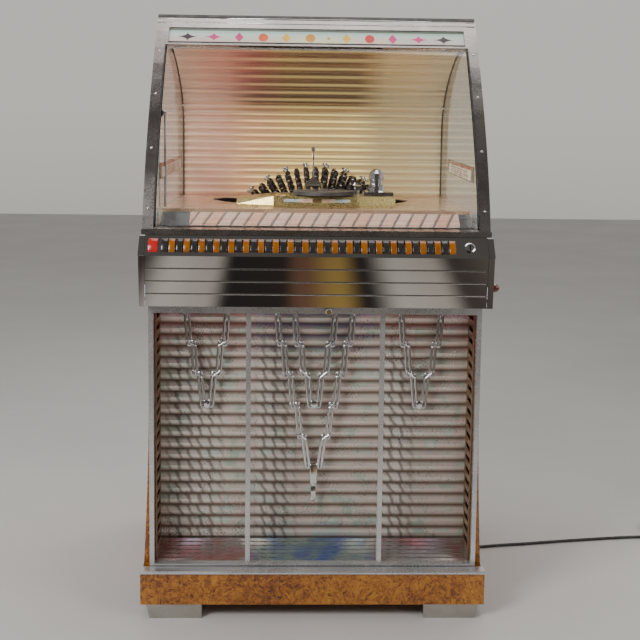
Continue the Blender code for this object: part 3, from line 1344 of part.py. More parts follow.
def roller_place():
    """Where the drive roller's axis stands beside the wheel's rim."""
    reach = RIM_RADIUS + ROLLER_RADIUS + SEAT
    angle = math.radians(ROLLER_ANGLE)
    return (WHEEL_CENTRE[0] + reach * math.cos(angle), WHEEL_CENTRE[2] + reach * math.sin(angle))


def build_drive():
    """Chassis with both bearings, the drive roller and its motor."""
    wheel_x, _, wheel_z = WHEEL_CENTRE
    (low_y, high_y), (low_z, high_z) = CHASSIS_Y, CHASSIS_Z
    chassis = block((-CHASSIS_HALF, low_y, low_z), (CHASSIS_HALF, high_y, high_z))
    for (x0, y0), (x1, y1) in (FRONT_UPRIGHT, REAR_UPRIGHT):
        join(chassis, block((x0, y0, high_z - OVERLAP), (x1, y1, UPRIGHT_TOP)))
    start = FRONT_UPRIGHT[0][1] - THROUGH
    end = REAR_UPRIGHT[1][1] + THROUGH
    x, z = roller_place()
    roller_start = REAR_UPRIGHT[0][1] - THROUGH
    cut(
        chassis, rod((wheel_x, start, wheel_z), (wheel_x, end, wheel_z), AXLE_RADIUS + PLAY, ROUND_SIDES),
        rod((x, roller_start, z), (x, end, z), ROLLER_SHAFT + PLAY),
    )
    finish(chassis, "mechanism_chassis", "grey_casting")
    high = RIM_WALL[1]
    roller = rod((x, ROLLER_FRONT, z), (x, high, z), ROLLER_RADIUS, ROUND_SIDES)
    join(roller, rod((x, ROLLER_FRONT + OVERLAP, z), (x, ROLLER_BACK, z), ROLLER_SHAFT))
    finish(roller, "drive_roller", "rubber", smooth=True, pivot=(x, WHEEL_CENTRE[1], z))
    start = REAR_UPRIGHT[1][1] + SEAT
    motor = rod((x, start, z), (x, MOTOR_BACK, z), MOTOR_RADIUS, ROUND_SIDES)
    cut(motor, rod((x, start - THROUGH, z), (x, ROLLER_BACK + THROUGH, z), ROLLER_SHAFT + PLAY))
    finish(motor, "magazine_motor", "grey_casting", smooth=True)


def build_cover():
    """Faceted cover in front of the records, with the gripper's hinge pin on its rear edge."""
    foot = DECK_Z[1] + SEAT
    sections = []
    for x, front, top in COVER_SECTIONS:
        ring = (
            (front, foot), (front, foot + COVER_SKIRT), (front + COVER_LEAN, top), (COVER_BACK, top),
            (COVER_BACK, foot),
        )
        sections.append([(x, y, z) for y, z in ring])
    cover = loft(sections)
    top = COVER_SECTIONS[1][2]
    dome_x, dome_y, radius, rise = DOME
    steps = 4
    profile = [(-OVERLAP, radius)]
    for step in range(steps):
        angle = math.pi / 2 * step / steps
        profile.append((rise * math.sin(angle), radius * math.cos(angle)))
    dome = turned(profile, (dome_x, dome_y, top), (0, 0, 1), ROUND_SIDES)
    y, z = ARM_AXIS
    pieces = [dome]
    left, right = ARM_X[0] - SEAT, ARM_X[1] + SEAT
    for start, end in ((left - EAR_WALL, left), (right, right + EAR_WALL)):
        pieces.append(block((start, y - EAR_HALF, top - OVERLAP), (end, y + EAR_HALF, z + EAR_HALF)))
    pieces.append(rod((left - OVERLAP, y, z), (right + OVERLAP, y, z), ARM_PIN))
    join(cover, *pieces)
    x, y = PLATTER_AXIS
    spindle = rod((x, y, SPINDLE_BOTTOM - SEAT), (x, y, top + THROUGH), SPINDLE_RADIUS + PLAY, ROUND_SIDES)
    x, y = TONEARM_AXIS
    radius, bottom = TONEARM_PIN
    cut(cover, spindle, rod((x, y, bottom - SEAT), (x, y, top + THROUGH), radius + PLAY))
    finish(cover, "mechanism_cover", "gold_cover")


def build_playing_parts():
    """Turntable, tonearm, gripper arm and gear head."""
    x, y = PLATTER_AXIS
    low, high = PLATTER_Z
    rim, rise = ADAPTER
    profile = (
        (SPINDLE_BOTTOM, SPINDLE_RADIUS), (low, SPINDLE_RADIUS), (low, PLATTER_RADIUS), (high, PLATTER_RADIUS),
        (high, rim), (high + rise, rim - rise),
    )
    finish(turned(profile, (x, y, 0), (0, 0, 1), PLATTER_SIDES), "turntable", "painted_dark", pivot=(x, y, low))

    x, y = TONEARM_AXIS
    top = COVER_SECTIONS[1][2] + SEAT
    radius, post_top = TONEARM_BASE
    pin, bottom = TONEARM_PIN
    tube = TONEARM_TUBE
    arm = turned(
        ((bottom, pin), (top, pin), (top, radius), (post_top, radius), (TONEARM_Z + tube, pin)), (x, y, 0), (0, 0, 1),
        KNOB_SIDES,
    )
    reach = y - TONEARM_REACH
    half, long, tall = TONEARM_HEAD
    weight, weight_length = TONEARM_WEIGHT
    rear = y + radius + weight_length
    z = TONEARM_Z
    join(
        arm, rod((x, reach, z), (x, rear, z), tube - SEAT, KNUCKLE_SIDES),
        block((x - half, reach - long, z - tall), (x + half, reach + OVERLAP, z + tube)),
        rod((x, rear - weight_length + OVERLAP, z), (x, rear + OVERLAP, z), weight, KNOB_SIDES),
    )
    finish(arm, "tonearm", "chrome", smooth=True, pivot=(x, y, z))

    y, z = ARM_AXIS
    left, right = ARM_X
    hub = rod((left, y, z), (right, y, z), ARM_HUB, KNOB_SIDES)
    outline = (
        (left + SEAT, z + ARM_PIN), (right - SEAT, z + ARM_PIN), (right - SEAT, z + ARM_HUB + OVERLAP),
        (ARM_ROD_X + ARM_ROD, ARM_FOOT_TOP), (ARM_ROD_X - ARM_ROD, ARM_FOOT_TOP), (left + SEAT, z + ARM_HUB + OVERLAP),
    )
    plate = prism(outline, "y", y - ARM_FOOT_HALF, y + ARM_FOOT_HALF)
    steps = 5
    profile = []
    for step in range(steps + 1):
        angle = math.pi * (0.12 + 0.76 * step / steps)
        profile.append((-ARM_BALL * math.cos(angle), ARM_BALL * math.sin(angle)))
    ball = turned(profile, (ARM_ROD_X, y, ARM_TOP), (0, 0, 1), PIN_SIDES)
    stem = rod((ARM_ROD_X, y, ARM_FOOT_TOP - ARM_HUB), (ARM_ROD_X, y, ARM_TOP), ARM_ROD, KNUCKLE_SIDES)
    join(hub, plate, stem, ball)
    cut(hub, rod((left - THROUGH, y, z), (right + THROUGH, y, z), ARM_PIN + PLAY))
    finish(hub, "gripper_arm", "chrome", smooth=True, pivot=(0, y, z))

    (x0, y0), (x1, y1) = GEAR_BASE
    base = block((x0, y0, top), (x1, y1, GEAR_BASE_TOP))
    join(base, turned(GEAR_PROFILE, (*GEAR_AXIS, 0), (0, 0, 1), KNOB_SIDES))
    finish(base, "gear_head", "chrome", smooth=True)


def build_inside():
    """Loudspeaker on its baffle, amplifier and the lamp tube over the recess."""
    front, back = BAFFLE_Y
    baffle = block((-INSIDE, front, BASE), (INSIDE, back, BAFFLE_TOP))
    join(baffle, turned(SPEAKER_PROFILE, (0, 0, SPEAKER_Z), (0, 1, 0), SPEAKER_SIDES))
    finish(baffle, "bass_speaker", "painted_dark")
    (x0, y0), (x1, y1) = AMPLIFIER
    top = BASE + AMPLIFIER_HEIGHT
    chassis = block((x0, y0, BASE), (x1, y1, top))
    (x0, y0), (x1, y1) = TRANSFORMER
    pieces = [block((x0, y0, top - OVERLAP), (x1, y1, top + TRANSFORMER_HEIGHT))]
    radius, tall = VALVE
    for x in VALVES_X:
        pieces.append(tapered((x, VALVE_Y, top - OVERLAP), (x, VALVE_Y, top + tall), (radius, radius, radius / 2), PIN_SIDES))
    join(chassis, *pieces)
    finish(chassis, "amplifier_chassis", "grey_casting")
    socket, glass = LAMP_TUBE_RADII
    inner = INSIDE - LAMP_SOCKET
    profile = (
        (-INSIDE, socket), (-inner, socket), (-inner, glass), (inner, glass), (inner, socket), (INSIDE, socket),
    )
    tube = turned(profile, (0, LAMP_TUBE_Y, LAMP_TUBE_Z), (1, 0, 0), KNOB_SIDES)
    finish(tube, "screen_lamp_tube", "lamp_glass", smooth=True)


def smooth_route(points, spacing):
    """A smooth curve through the points, sampled at the spacing."""
    points = np.array(points, dtype=float)
    before, after = points[:-2], points[2:]
    slopes = (after - before) / 2
    slopes = np.vstack([points[1] - points[0], slopes, points[-1] - points[-2]])
    fine = []
    steps = 40
    for place in range(len(points) - 1):
        start, end = points[place], points[place + 1]
        size = np.linalg.norm(end - start)
        near = slopes[place] / np.linalg.norm(slopes[place]) * size
        far = slopes[place + 1] / np.linalg.norm(slopes[place + 1]) * size
        for step in range(steps):
            t = step / steps
            fine.append(
                start * (2 * t ** 3 - 3 * t ** 2 + 1) + near * (t ** 3 - 2 * t ** 2 + t)
                + end * (3 * t ** 2 - 2 * t ** 3) + far * (t ** 3 - t ** 2)
            )
    fine.append(points[-1])
    fine = np.array(fine)
    lengths = np.concatenate([[0.0], np.cumsum(np.linalg.norm(np.diff(fine, axis=0), axis=1))])
    count = max(2, round(lengths[-1] / spacing))
    marks = np.linspace(0.0, lengths[-1], count + 1)
    return np.stack([np.interp(marks, lengths, fine[:, k]) for k in range(3)], axis=1), lengths[-1]


def tube(name, points, resolution):
    """A round cord of one unbroken tube through the points."""
    curve = bpy.data.curves.new(name, "CURVE")
    curve.dimensions = "3D"
    curve.bevel_depth = CORD_RADIUS
    curve.bevel_resolution = resolution
    curve.use_fill_caps = True
    line = curve.splines.new("POLY")
    line.points.add(len(points) - 1)
    for place, point in zip(line.points, points):
        place.co = (*point, 1.0)
    line.use_smooth = True
    shape = bpy.data.objects.new(name, curve)
    bpy.context.scene.collection.objects.link(shape)
    curve.materials.append(material("rubber"))
    return shape


def coil_points():
    """Two flat layers: a spiral in, a climb with a dip inwards, and a spiral out."""
    x, y = COIL_CENTRE
    climb_start = (COIL_TURNS - COIL_CLIMB) / 2
    climb_end = climb_start + COIL_CLIMB
    inner = COIL_OUTER - COIL_PITCH * climb_start
    count = round(COIL_TURNS * COIL_STEPS)
    points = []
    for step in range(count + 1):
        turn = COIL_TURNS * step / count
        angle = 2 * math.pi * turn - math.pi / 2
        if turn <= climb_start:
            radius, share = COIL_OUTER - COIL_PITCH * turn, 0.0
        elif turn >= climb_end:
            radius, share = inner + COIL_PITCH * (turn - climb_end), 1.0
        else:
            part = (turn - climb_start) / COIL_CLIMB
            radius = inner - COIL_DIP * math.sin(math.pi * part) ** 2
            share = part * part * (3 - 2 * part)
        points.append((x + radius * math.cos(angle), y + radius * math.sin(angle), CORD_Z + COIL_PITCH * share))
    straight = 2 * CORD_RADIUS
    first, last = points[0], points[-1]
    return [(first[0] - straight, first[1], first[2])] + points + [(last[0], last[1] + COIL_TAIL, last[2])]


def build_cord():
    """Strain relief, lead, coil and plug."""
    start = (RELIEF_X, CABINET_BACK + SEAT, RELIEF_Z)
    end = (RELIEF_X, CABINET_BACK + SEAT + RELIEF_LENGTH - SEAT, RELIEF_Z)
    finish(tapered(start, end, RELIEF_RADII, KNOB_SIDES), "strain_relief", "rubber", smooth=True)
    route, length = smooth_route(CORD_ROUTE, CORD_SPACING)
    tube("power_cord", route, 2)
    coil = coil_points()
    tube("cord_coil", coil, 1)
    array = np.array(coil)
    marks = np.concatenate([[0.0], np.cumsum(np.linalg.norm(np.diff(array, axis=0), axis=1))])
    fine_marks = np.linspace(0.0, marks[-1], 1200)
    fine = np.stack([np.interp(fine_marks, marks, array[:, k]) for k in range(3)], axis=1)
    away = np.abs(fine_marks[:, None] - fine_marks[None, :]) > 3 * 2 * CORD_RADIUS
    apart = np.linalg.norm(fine[:, None, :] - fine[None, :, :], axis=2)
    gap = apart[away].min() - 2 * CORD_RADIUS
    print(f"cord {length:.3f} m, coil {marks[-1]:.3f} m, least gap in the coil {gap * 1000:.2f} mm")
    x, y, z = coil[-1]
    plug = turned(PLUG_PROFILE, (x, y + SEAT, z), (0, 1, 0), KNOB_SIDES)
    radius, long, half = PLUG_PINS
    front = y + SEAT + PLUG_PROFILE[-1][0]
    for side in (-1, 1):
        pin_x = x + side * half
        join(plug, rod((pin_x, front - OVERLAP, z), (pin_x, front + long, z), radius, KNUCKLE_SIDES))
    finish(plug, "plug", "rubber", smooth=True)


def main():
    """Empties the scene and builds every piece."""
    for shape in list(bpy.data.objects):
        bpy.data.objects.remove(shape)
    for build in (
        build_feet, build_plinth, build_lip_moulding, build_side_panels, build_back, build_door, build_latch,
        build_chains, build_housing, build_keys, build_coin_path, build_side_knob, build_lid_frame, build_lid_glass,
        build_lid_top, build_stay, build_hood_back, build_reflector, build_deck, build_rack, build_wheel, build_drive,
        build_cover, build_playing_parts, build_inside, build_cord,
    ):
        build()


main()
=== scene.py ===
"""Looks of the floor standing record player: hood, keys, chained grille door, mechanism and lead.

Metres, +Z up, the front faces -Y. Shapes are numpy grids, finishes are node materials on Object coordinates.
"""

import json
import math

import bmesh
import bpy
import numpy as np
from mathutils import Matrix

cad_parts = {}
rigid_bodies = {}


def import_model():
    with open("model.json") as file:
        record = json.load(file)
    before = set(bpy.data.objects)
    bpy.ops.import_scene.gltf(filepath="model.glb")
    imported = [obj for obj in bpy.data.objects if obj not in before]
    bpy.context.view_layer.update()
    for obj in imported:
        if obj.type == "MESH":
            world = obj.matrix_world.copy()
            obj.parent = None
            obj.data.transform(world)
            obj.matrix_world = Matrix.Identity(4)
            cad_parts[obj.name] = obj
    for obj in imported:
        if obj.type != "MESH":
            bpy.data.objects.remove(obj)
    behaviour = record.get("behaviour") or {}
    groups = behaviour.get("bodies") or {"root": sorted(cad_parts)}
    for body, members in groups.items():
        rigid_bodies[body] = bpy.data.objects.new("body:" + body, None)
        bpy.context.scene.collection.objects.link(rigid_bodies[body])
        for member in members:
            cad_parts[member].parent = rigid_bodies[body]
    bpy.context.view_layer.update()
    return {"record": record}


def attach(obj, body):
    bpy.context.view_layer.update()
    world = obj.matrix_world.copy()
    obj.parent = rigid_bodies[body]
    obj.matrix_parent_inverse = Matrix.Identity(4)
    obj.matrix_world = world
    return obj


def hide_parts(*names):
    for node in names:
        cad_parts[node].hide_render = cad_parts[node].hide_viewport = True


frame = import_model()

# Camera, at the photograph's angle
EYE = (-0.05779, -2.63382, 1.17436)
YAW, PITCH, ROLL = math.radians(1.5819), math.radians(-5.8534), math.radians(0.7063)
LENS, SENSOR, SHIFT_Y = 56.50, 36.0, -0.1359


def linked(name, data):
    """A new object of the scene that holds this data."""
    piece = bpy.data.objects.new(name, data)
    bpy.context.scene.collection.objects.link(piece)
    return piece


def aimed(place, right, up, back):
    """Placement at a place, with its own x, y and z along these three directions."""
    return Matrix.Translation(place) @ Matrix(np.stack([right, up, back], axis=1).tolist()).to_4x4()


def add_camera():
    """Camera from yaw to the right, pitch and roll."""
    ahead = np.array([math.sin(YAW) * math.cos(PITCH), math.cos(YAW) * math.cos(PITCH), math.sin(PITCH)])
    level = np.array([math.cos(YAW), -math.sin(YAW), 0.0])
    rise = np.cross(level, ahead)
    right = math.cos(ROLL) * level + math.sin(ROLL) * rise
    up = -math.sin(ROLL) * level + math.cos(ROLL) * rise
    camera = linked("camera", bpy.data.cameras.new("camera"))
    camera.data.lens, camera.data.sensor_width, camera.data.shift_y = LENS, SENSOR, SHIFT_Y
    camera.data.clip_start, camera.data.clip_end = 0.05, 60.0
    camera.matrix_world = aimed(EYE, right, up, -ahead)
    bpy.context.scene.camera = camera


# Mains lead: the route and the coil of the CAD solids
LEAD_RADIUS = 0.0040
LEAD_ROUTE = np.array([
    (0.3150, 0.3754, 0.0745), (0.3150, 0.3970, 0.0745), (0.3160, 0.4210, 0.0650), (0.3210, 0.4400, 0.0400),
    (0.3330, 0.4530, 0.0140), (0.3560, 0.4610, 0.0041), (0.3950, 0.4570, 0.0041), (0.4300, 0.4280, 0.0041),
    (0.4480, 0.3800, 0.0041), (0.4490, 0.3200, 0.0041), (0.4400, 0.2550, 0.0041), (0.4330, 0.2000, 0.0041),
    (0.4350, 0.1500, 0.0041), (0.4490, 0.1120, 0.0041), (0.4770, 0.0975, 0.0041), (0.5420, 0.1080, 0.0041),
    (0.6010, 0.1165, 0.0041), (0.6610, 0.1265, 0.0041), (0.7220, 0.1370, 0.0041), (0.8000, 0.1490, 0.0041),
    (0.8800, 0.1600, 0.0041), (0.9500, 0.1675, 0.0041), (1.0000, 0.1699, 0.0041), (1.0287, 0.1700, 0.0041),
    (1.0367, 0.1700, 0.0041),
])
COIL_CENTRE, COIL_OUTER, COIL_PITCH, COIL_TURNS = (1.0450, 0.2230), 0.0530, 0.0088, 5.25
COIL_CLIMB, COIL_DIP, COIL_TAIL = 0.5, 0.0030, 0.0200
ROUTE_STEPS, TURN_STEPS = 6, 48
TIE_TURNS_IN, TIE_HALF_TURNS, TIE_CLEAR, TIE_WIRE = 2.3, 3.0, 0.0006, 0.0011


def through(points, count):
    """Catmull-Rom curve: each span is the cubic of its four nearest points, sampled count times."""
    ends = np.vstack([2 * points[0] - points[1], points, 2 * points[-1] - points[-2]])
    a, b, c, d = (ends[k:len(ends) - 3 + k, None] for k in range(4))
    t = (np.arange(count) / count)[None, :, None]
    square, cube = 2 * a - 5 * b + 4 * c - d, 3 * b - a - 3 * c + d
    span = 0.5 * (2 * b + (c - a) * t + square * t ** 2 + cube * t ** 3)
    return np.vstack([span.reshape(-1, points.shape[1]), points[-1:]])


def lead_line():
    """The route, then two flat layers: a spiral in, a climb with a dip inwards, and a spiral out."""
    turn = np.linspace(0.0, COIL_TURNS, round(COIL_TURNS * TURN_STEPS) + 1)
    start = (COIL_TURNS - COIL_CLIMB) / 2
    inner = COIL_OUTER - COIL_PITCH * start
    part = np.clip((turn - start) / COIL_CLIMB, 0, 1)
    outward = np.clip(turn - start - COIL_CLIMB, 0, None)
    radius = np.where(turn < start, COIL_OUTER - COIL_PITCH * turn, inner + COIL_PITCH * outward)
    radius = radius - COIL_DIP * np.sin(math.pi * part) ** 2
    rise = COIL_PITCH * part ** 2 * (3 - 2 * part) + LEAD_ROUTE[-1, 2]
    angle = 2 * math.pi * turn - math.pi / 2
    x, y = COIL_CENTRE
    coil = np.stack([x + radius * np.cos(angle), y + radius * np.sin(angle), rise], axis=1)
    return np.vstack([through(LEAD_ROUTE, ROUTE_STEPS), coil, coil[-1:] + [[0.0, COIL_TAIL, 0.0]]])


def add_lead():
    """One open round curve from the strain relief to the plug, and the tie that holds the coil.

    The tie follows |x/a|^4 + |z/b|^4 = 1 round both layers."""
    line = lead_line()
    curve = bpy.data.curves.new("mains_lead", "CURVE")
    curve.dimensions, curve.use_fill_caps = "3D", True
    curve.bevel_depth, curve.bevel_resolution = LEAD_RADIUS, 3
    spline = curve.splines.new("POLY")
    spline.points.add(len(line) - 1)
    spline.points.foreach_set("co", np.hstack([line, np.ones((len(line), 1))]).ravel())
    lead = linked("mains_lead", curve)
    lead.data.materials.append(finish("rubber"))
    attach(lead, "cabinet")
    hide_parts("power_cord", "cord_coil")
    layers = LEAD_RADIUS + COIL_PITCH / 2
    middle = (COIL_CENTRE[0] - COIL_OUTER + TIE_TURNS_IN * COIL_PITCH, COIL_CENTRE[1], layers)
    t = ring(32)
    bulge = (np.abs(np.cos(t)) ** 4 + np.abs(np.sin(t)) ** 4) ** -0.25
    loop = np.stack([TIE_HALF_TURNS * COIL_PITCH * np.cos(t) * bulge, 0 * t,
                     (layers + TIE_CLEAR) * np.sin(t) * bulge], axis=1) + middle
    tie = made("lead_tie", [swept(loop, TIE_WIRE, 8, closed=True)], "cabinet", "rubber")


class Nodes:
    """Short hand for one node tree: add a node, set or link its inputs, give back its output."""

    def __init__(self, tree):
        self.tree = tree

    def add(self, kind, inputs=(), output=0, **settings):
        node = self.tree.nodes.new(kind)
        for key, value in settings.items():
            setattr(node, key, value)
        for key, value in dict(inputs).items():
            self.put(value, node.inputs[key])
        return node.outputs[output]

    def put(self, value, socket):
        """Links or sets a socket; a colour given as three parts is opaque."""
        if isinstance(value, bpy.types.NodeSocket):
            self.tree.links.new(value, socket)
        elif hasattr(socket.default_value, "__len__") and len(socket.default_value) == 4 and len(value) == 3:
            socket.default_value = (*value, 1.0)
        else:
            socket.default_value = value

    def math(self, operation, a, b=0.0, c=0.0):
        return self.add("ShaderNodeMath", {0: a, 1: b, 2: c}, operation=operation)

    def times(self, a, b):
        return self.math("MULTIPLY", a, b)

    def times_add(self, a, b, c):
        return self.math("MULTIPLY_ADD", a, b, c)

    def minus(self, a, b):
        return self.math("SUBTRACT", a, b)

    def away(self, value, middle=0.0):
        """How far a value is from a middle: |value - middle|."""
        return self.math("ABSOLUTE", self.minus(value, middle))

    def cycle(self, value, start, pitch):
        """Share of a pitch that the value has gone since the last repeat, counted from the start."""
        return self.math("FRACT", self.math("DIVIDE", self.minus(value, start), pitch))

    def place(self, axis=None):
        """Object coordinates in metres, or one of them."""
        spot = self.add("ShaderNodeTexCoord", output="Object")
        return spot if axis is None else self.add("ShaderNodeSeparateXYZ", {0: spot}, output=axis)

    def span(self, value, low, high, start=0.0, end=1.0):
        """Value taken from low..high to start..end and held there."""
        return self.add("ShaderNodeMapRange", {0: value, 1: low, 2: high, 3: start, 4: end}, clamp=True)

    def noise(self, scale, detail, roughness=0.5, spot=None, output=0, distortion=0.0):
        """Cloudy noise at Object coordinates, or at the given place."""
        spot = self.place() if spot is None else spot
        inputs = {0: spot, "Scale": scale, "Detail": detail, "Roughness": roughness, "Distortion": distortion}
        return self.add("ShaderNodeTexNoise", inputs, output)

    def between(self, share, low, high):
        """Colour that goes from low to high with the share."""
        node = self.tree.nodes.new("ShaderNodeMix")
        node.data_type = "RGBA"
        for socket, value in ((0, share), (6, low), (7, high)):
            self.put(value, node.inputs[socket])
        return node.outputs[2]

    def ramp(self, share, stops):
        """Colour looked up along a row of stops (place, colour)."""
        node = self.tree.nodes.new("ShaderNodeValToRGB")
        node.color_ramp.interpolation = "EASE"
        for place, colour in stops[1:-1]:
            node.color_ramp.elements.new(place).color = (*colour, 1.0)
        ends = (node.color_ramp.elements[0], node.color_ramp.elements[-1])
        for element, (place, colour) in zip(ends, (stops[0], stops[-1])):
            element.position, element.color = place, (*colour, 1.0)
        self.put(share, node.inputs[0])
        return node.outputs[0]

    def bump(self, height, strength, distance, socket):
        """Bumps of the given height on a normal."""
        self.put(self.add("ShaderNodeBump", {"Strength": strength, "Distance": distance, "Height": height},
                          output="Normal"), socket)

    def group(self, name, **inputs):
        """One shared effect, placed with its own values."""
        node = self.tree.nodes.new("ShaderNodeGroup")
        node.node_tree = bpy.data.node_groups[name]
        for key, value in inputs.items():
            self.put(value, node.inputs[key.title()])
        return node.outputs

    def drift(self, first, second, scale):
        """Colour that drifts between two tones."""
        return self.group("tone drift", first=first, second=second, scale=scale)["Colour"]

    def wear(self, shader, scale, low, high):
        """Roughness of a shader, uneven from handling."""
        self.put(self.group("handling", scale=scale, low=low, high=high)["Rough"], shader["Roughness"])


SOCKET_KINDS = {1: "Float", 3: "Vector", 4: "Color"}


def new_group(name, inputs, outputs):
    """Empty shared group: its inputs by name and value, its outputs by name and kind."""
    tree = bpy.data.node_groups.new(name, "ShaderNodeTree")
    for title, value in inputs.items():
        kind = SOCKET_KINDS[np.size(value)]
        socket = tree.interface.new_socket(title, in_out="INPUT", socket_type=f"NodeSocket{kind}")
        socket.default_value = value
    for title, kind in outputs.items():
        tree.interface.new_socket(title, in_out="OUTPUT", socket_type=f"NodeSocket{kind}")
    return Nodes(tree), tree.nodes.new("NodeGroupInput").outputs, tree.nodes.new("NodeGroupOutput").inputs


def make_groups():
    """Shared effects: handling marks, brushing, cast grain, tone drift and dust."""
    nodes, given, out = new_group("handling", {"Scale": 9.0, "Low": 0.1, "High": 0.3}, {"Rough": "Float"})
    broad = nodes.times(nodes.noise(given["Scale"], 5.0, 0.62), 0.65)
    mixed = nodes.times_add(nodes.noise(320.0, 2.0), 0.35, broad)
    nodes.put(nodes.span(mixed, 0.38, 0.62, given["Low"], given["High"]), out["Rough"])

    nodes, given, out = new_group(
        "brushing", {"Stretch": (900.0, 900.0, 12.0), "Depth": 0.15, "Low": 0.28, "High": 0.42},
        {"Rough": "Float", "Normal": "Vector"})
    lines = nodes.add("ShaderNodeVectorMath", {0: nodes.place(), 1: given["Stretch"]}, operation="MULTIPLY")
    brushed = nodes.noise(1.0, 3.0, 0.55, lines)
    nodes.put(nodes.span(brushed, 0.3, 0.7, given["Low"], given["High"]), out["Rough"])
    nodes.bump(brushed, given["Depth"], 0.0004, out["Normal"])

    nodes, given, out = new_group("cast grain", {"Scale": 420.0, "Depth": 0.3}, {"Normal": "Vector"})
    nodes.bump(nodes.noise(given["Scale"], 4.0, 0.7), given["Depth"], 0.0008, out["Normal"])

    nodes, given, out = new_group(
        "tone drift", {"First": (0.5, 0.5, 0.5, 1), "Second": (0.4, 0.4, 0.4, 1), "Scale": 4.0},
        {"Colour": "Color"})
    drift = nodes.span(nodes.noise(given["Scale"], 6.0, 0.6), 0.36, 0.64)
    nodes.put(nodes.between(drift, given["First"], given["Second"]), out["Colour"])

    nodes, given, out = new_group("dust", {"Colour": (0.5, 0.5, 0.5, 1), "Amount": 0.25}, {"Colour": "Color"})
    facing = nodes.add("ShaderNodeNewGeometry", output="Normal")
    upward = nodes.add("ShaderNodeSeparateXYZ", {0: facing}, output="Z")
    flecks = nodes.span(nodes.noise(70.0, 6.0, 0.75), 0.42, 0.66)
    amount = nodes.times(nodes.times(nodes.span(upward, 0.3, 1.0, 0.25, 1.0), flecks), given["Amount"])
    nodes.put(nodes.between(amount, given["Colour"], (0.55, 0.52, 0.47)), out["Colour"])


# Finish: two tones, scale of their drift, low and high roughness, metallic, coat, scale of the grain
FINISHES = {
    "brushed_steel": ((0.52, 0.50, 0.47), (0.43, 0.41, 0.38), 14.0, 0.24, 0.42, 1.0, 0.0, None),
    "satin_aluminium": ((0.42, 0.38, 0.36), (0.33, 0.295, 0.28), 7.0, 0.20, 0.32, 1.0, 0.0, 800.0),
    "pale_satin": ((0.74, 0.74, 0.75), (0.62, 0.62, 0.63), 9.0, 0.22, 0.36, 0.8, 0.0, 800.0),
    "mirror_chrome": ((0.64, 0.62, 0.60), (0.59, 0.57, 0.55), 5.0, 0.015, 0.05, 1.0, 0.0, 160.0),
    "gold_cover": ((0.56, 0.42, 0.17), (0.46, 0.34, 0.14), 12.0, 0.22, 0.40, 0.85, 0.1, 500.0),
    "copper_deck": ((0.82, 0.54, 0.36), (0.72, 0.46, 0.30), 5.0, 0.16, 0.30, 0.55, 0.1, 700.0),
    "black_plastic": ((0.022, 0.021, 0.022), (0.032, 0.030, 0.030), 60.0, 0.12, 0.30, 0.0, 0.5, 900.0),
    "amber_plastic": ((0.27, 0.080, 0.006), (0.38, 0.13, 0.010), 40.0, 0.12, 0.28, 0.0, 0.5, 900.0),
    "red_plastic": ((0.52, 0.012, 0.012), (0.62, 0.02, 0.018), 40.0, 0.12, 0.28, 0.0, 0.5, 900.0),
    "brown_knob": ((0.15, 0.035, 0.03), (0.20, 0.05, 0.035), 90.0, 0.08, 0.22, 0.0, 0.6, 900.0),
    "painted_dark": ((0.040, 0.035, 0.033), (0.058, 0.050, 0.046), 6.0, 0.42, 0.62, 0.0, 0.0, 380.0),
    "grey_casting": ((0.43, 0.43, 0.44), (0.36, 0.36, 0.36), 18.0, 0.38, 0.56, 0.8, 0.0, 420.0),
    "rubber": ((0.020, 0.020, 0.021), (0.034, 0.033, 0.032), 24.0, 0.46, 0.66, 0.0, 0.0, 1100.0),
    "record_vinyl": ((0.030, 0.026, 0.027), (0.020, 0.018, 0.019), 30.0, 0.18, 0.34, 0.0, 0.2, 900.0),
    "chrome": ((0.80, 0.80, 0.81), (0.76, 0.76, 0.77), 5.0, 0.035, 0.11, 1.0, 0.0, 160.0),
}
DUSTY = ("painted_dark", "grey_casting", "rubber", "copper_deck", "record_vinyl")


def new_material(name, **settings):
    """Material with its node writer and its shader's inputs, some of them set by name."""
    material = bpy.data.materials.new(name)
    material.use_nodes = True
    shader = material.node_tree.nodes["Principled BSDF"].inputs
    for key, value in settings.items():
        shader[key.replace("_", " ").title()].default_value = value
    return material, Nodes(material.node_tree), shader


def plain_finish(name, key):
    """Finish from the table: drifting colour with dust, uneven roughness, and grain, or else brushing."""
    first, second, scale, low, high, metallic, coat, grain = FINISHES[key]
    _, nodes, shader = new_material(name, metallic=metallic, coat_weight=coat, coat_roughness=0.06)
    colour = nodes.drift(first, second, scale)
    if key in DUSTY:
        colour = nodes.group("dust", colour=colour, amount=0.22)["Colour"]
    nodes.put(colour, shader["Base Color"])
    if grain is None:
        made = nodes.group("brushing", stretch=(30, 900, 900), depth=0.12, low=low, high=high)
        nodes.put(made["Rough"], shader["Roughness"])
        nodes.put(made["Normal"], shader["Normal"])
    else:
        depth = 0.015 if key.endswith("chrome") else 0.06 if metallic else 0.12
        nodes.wear(shader, 11.0, low, high)
        nodes.put(nodes.group("cast grain", scale=grain, depth=depth)["Normal"], shader["Normal"])


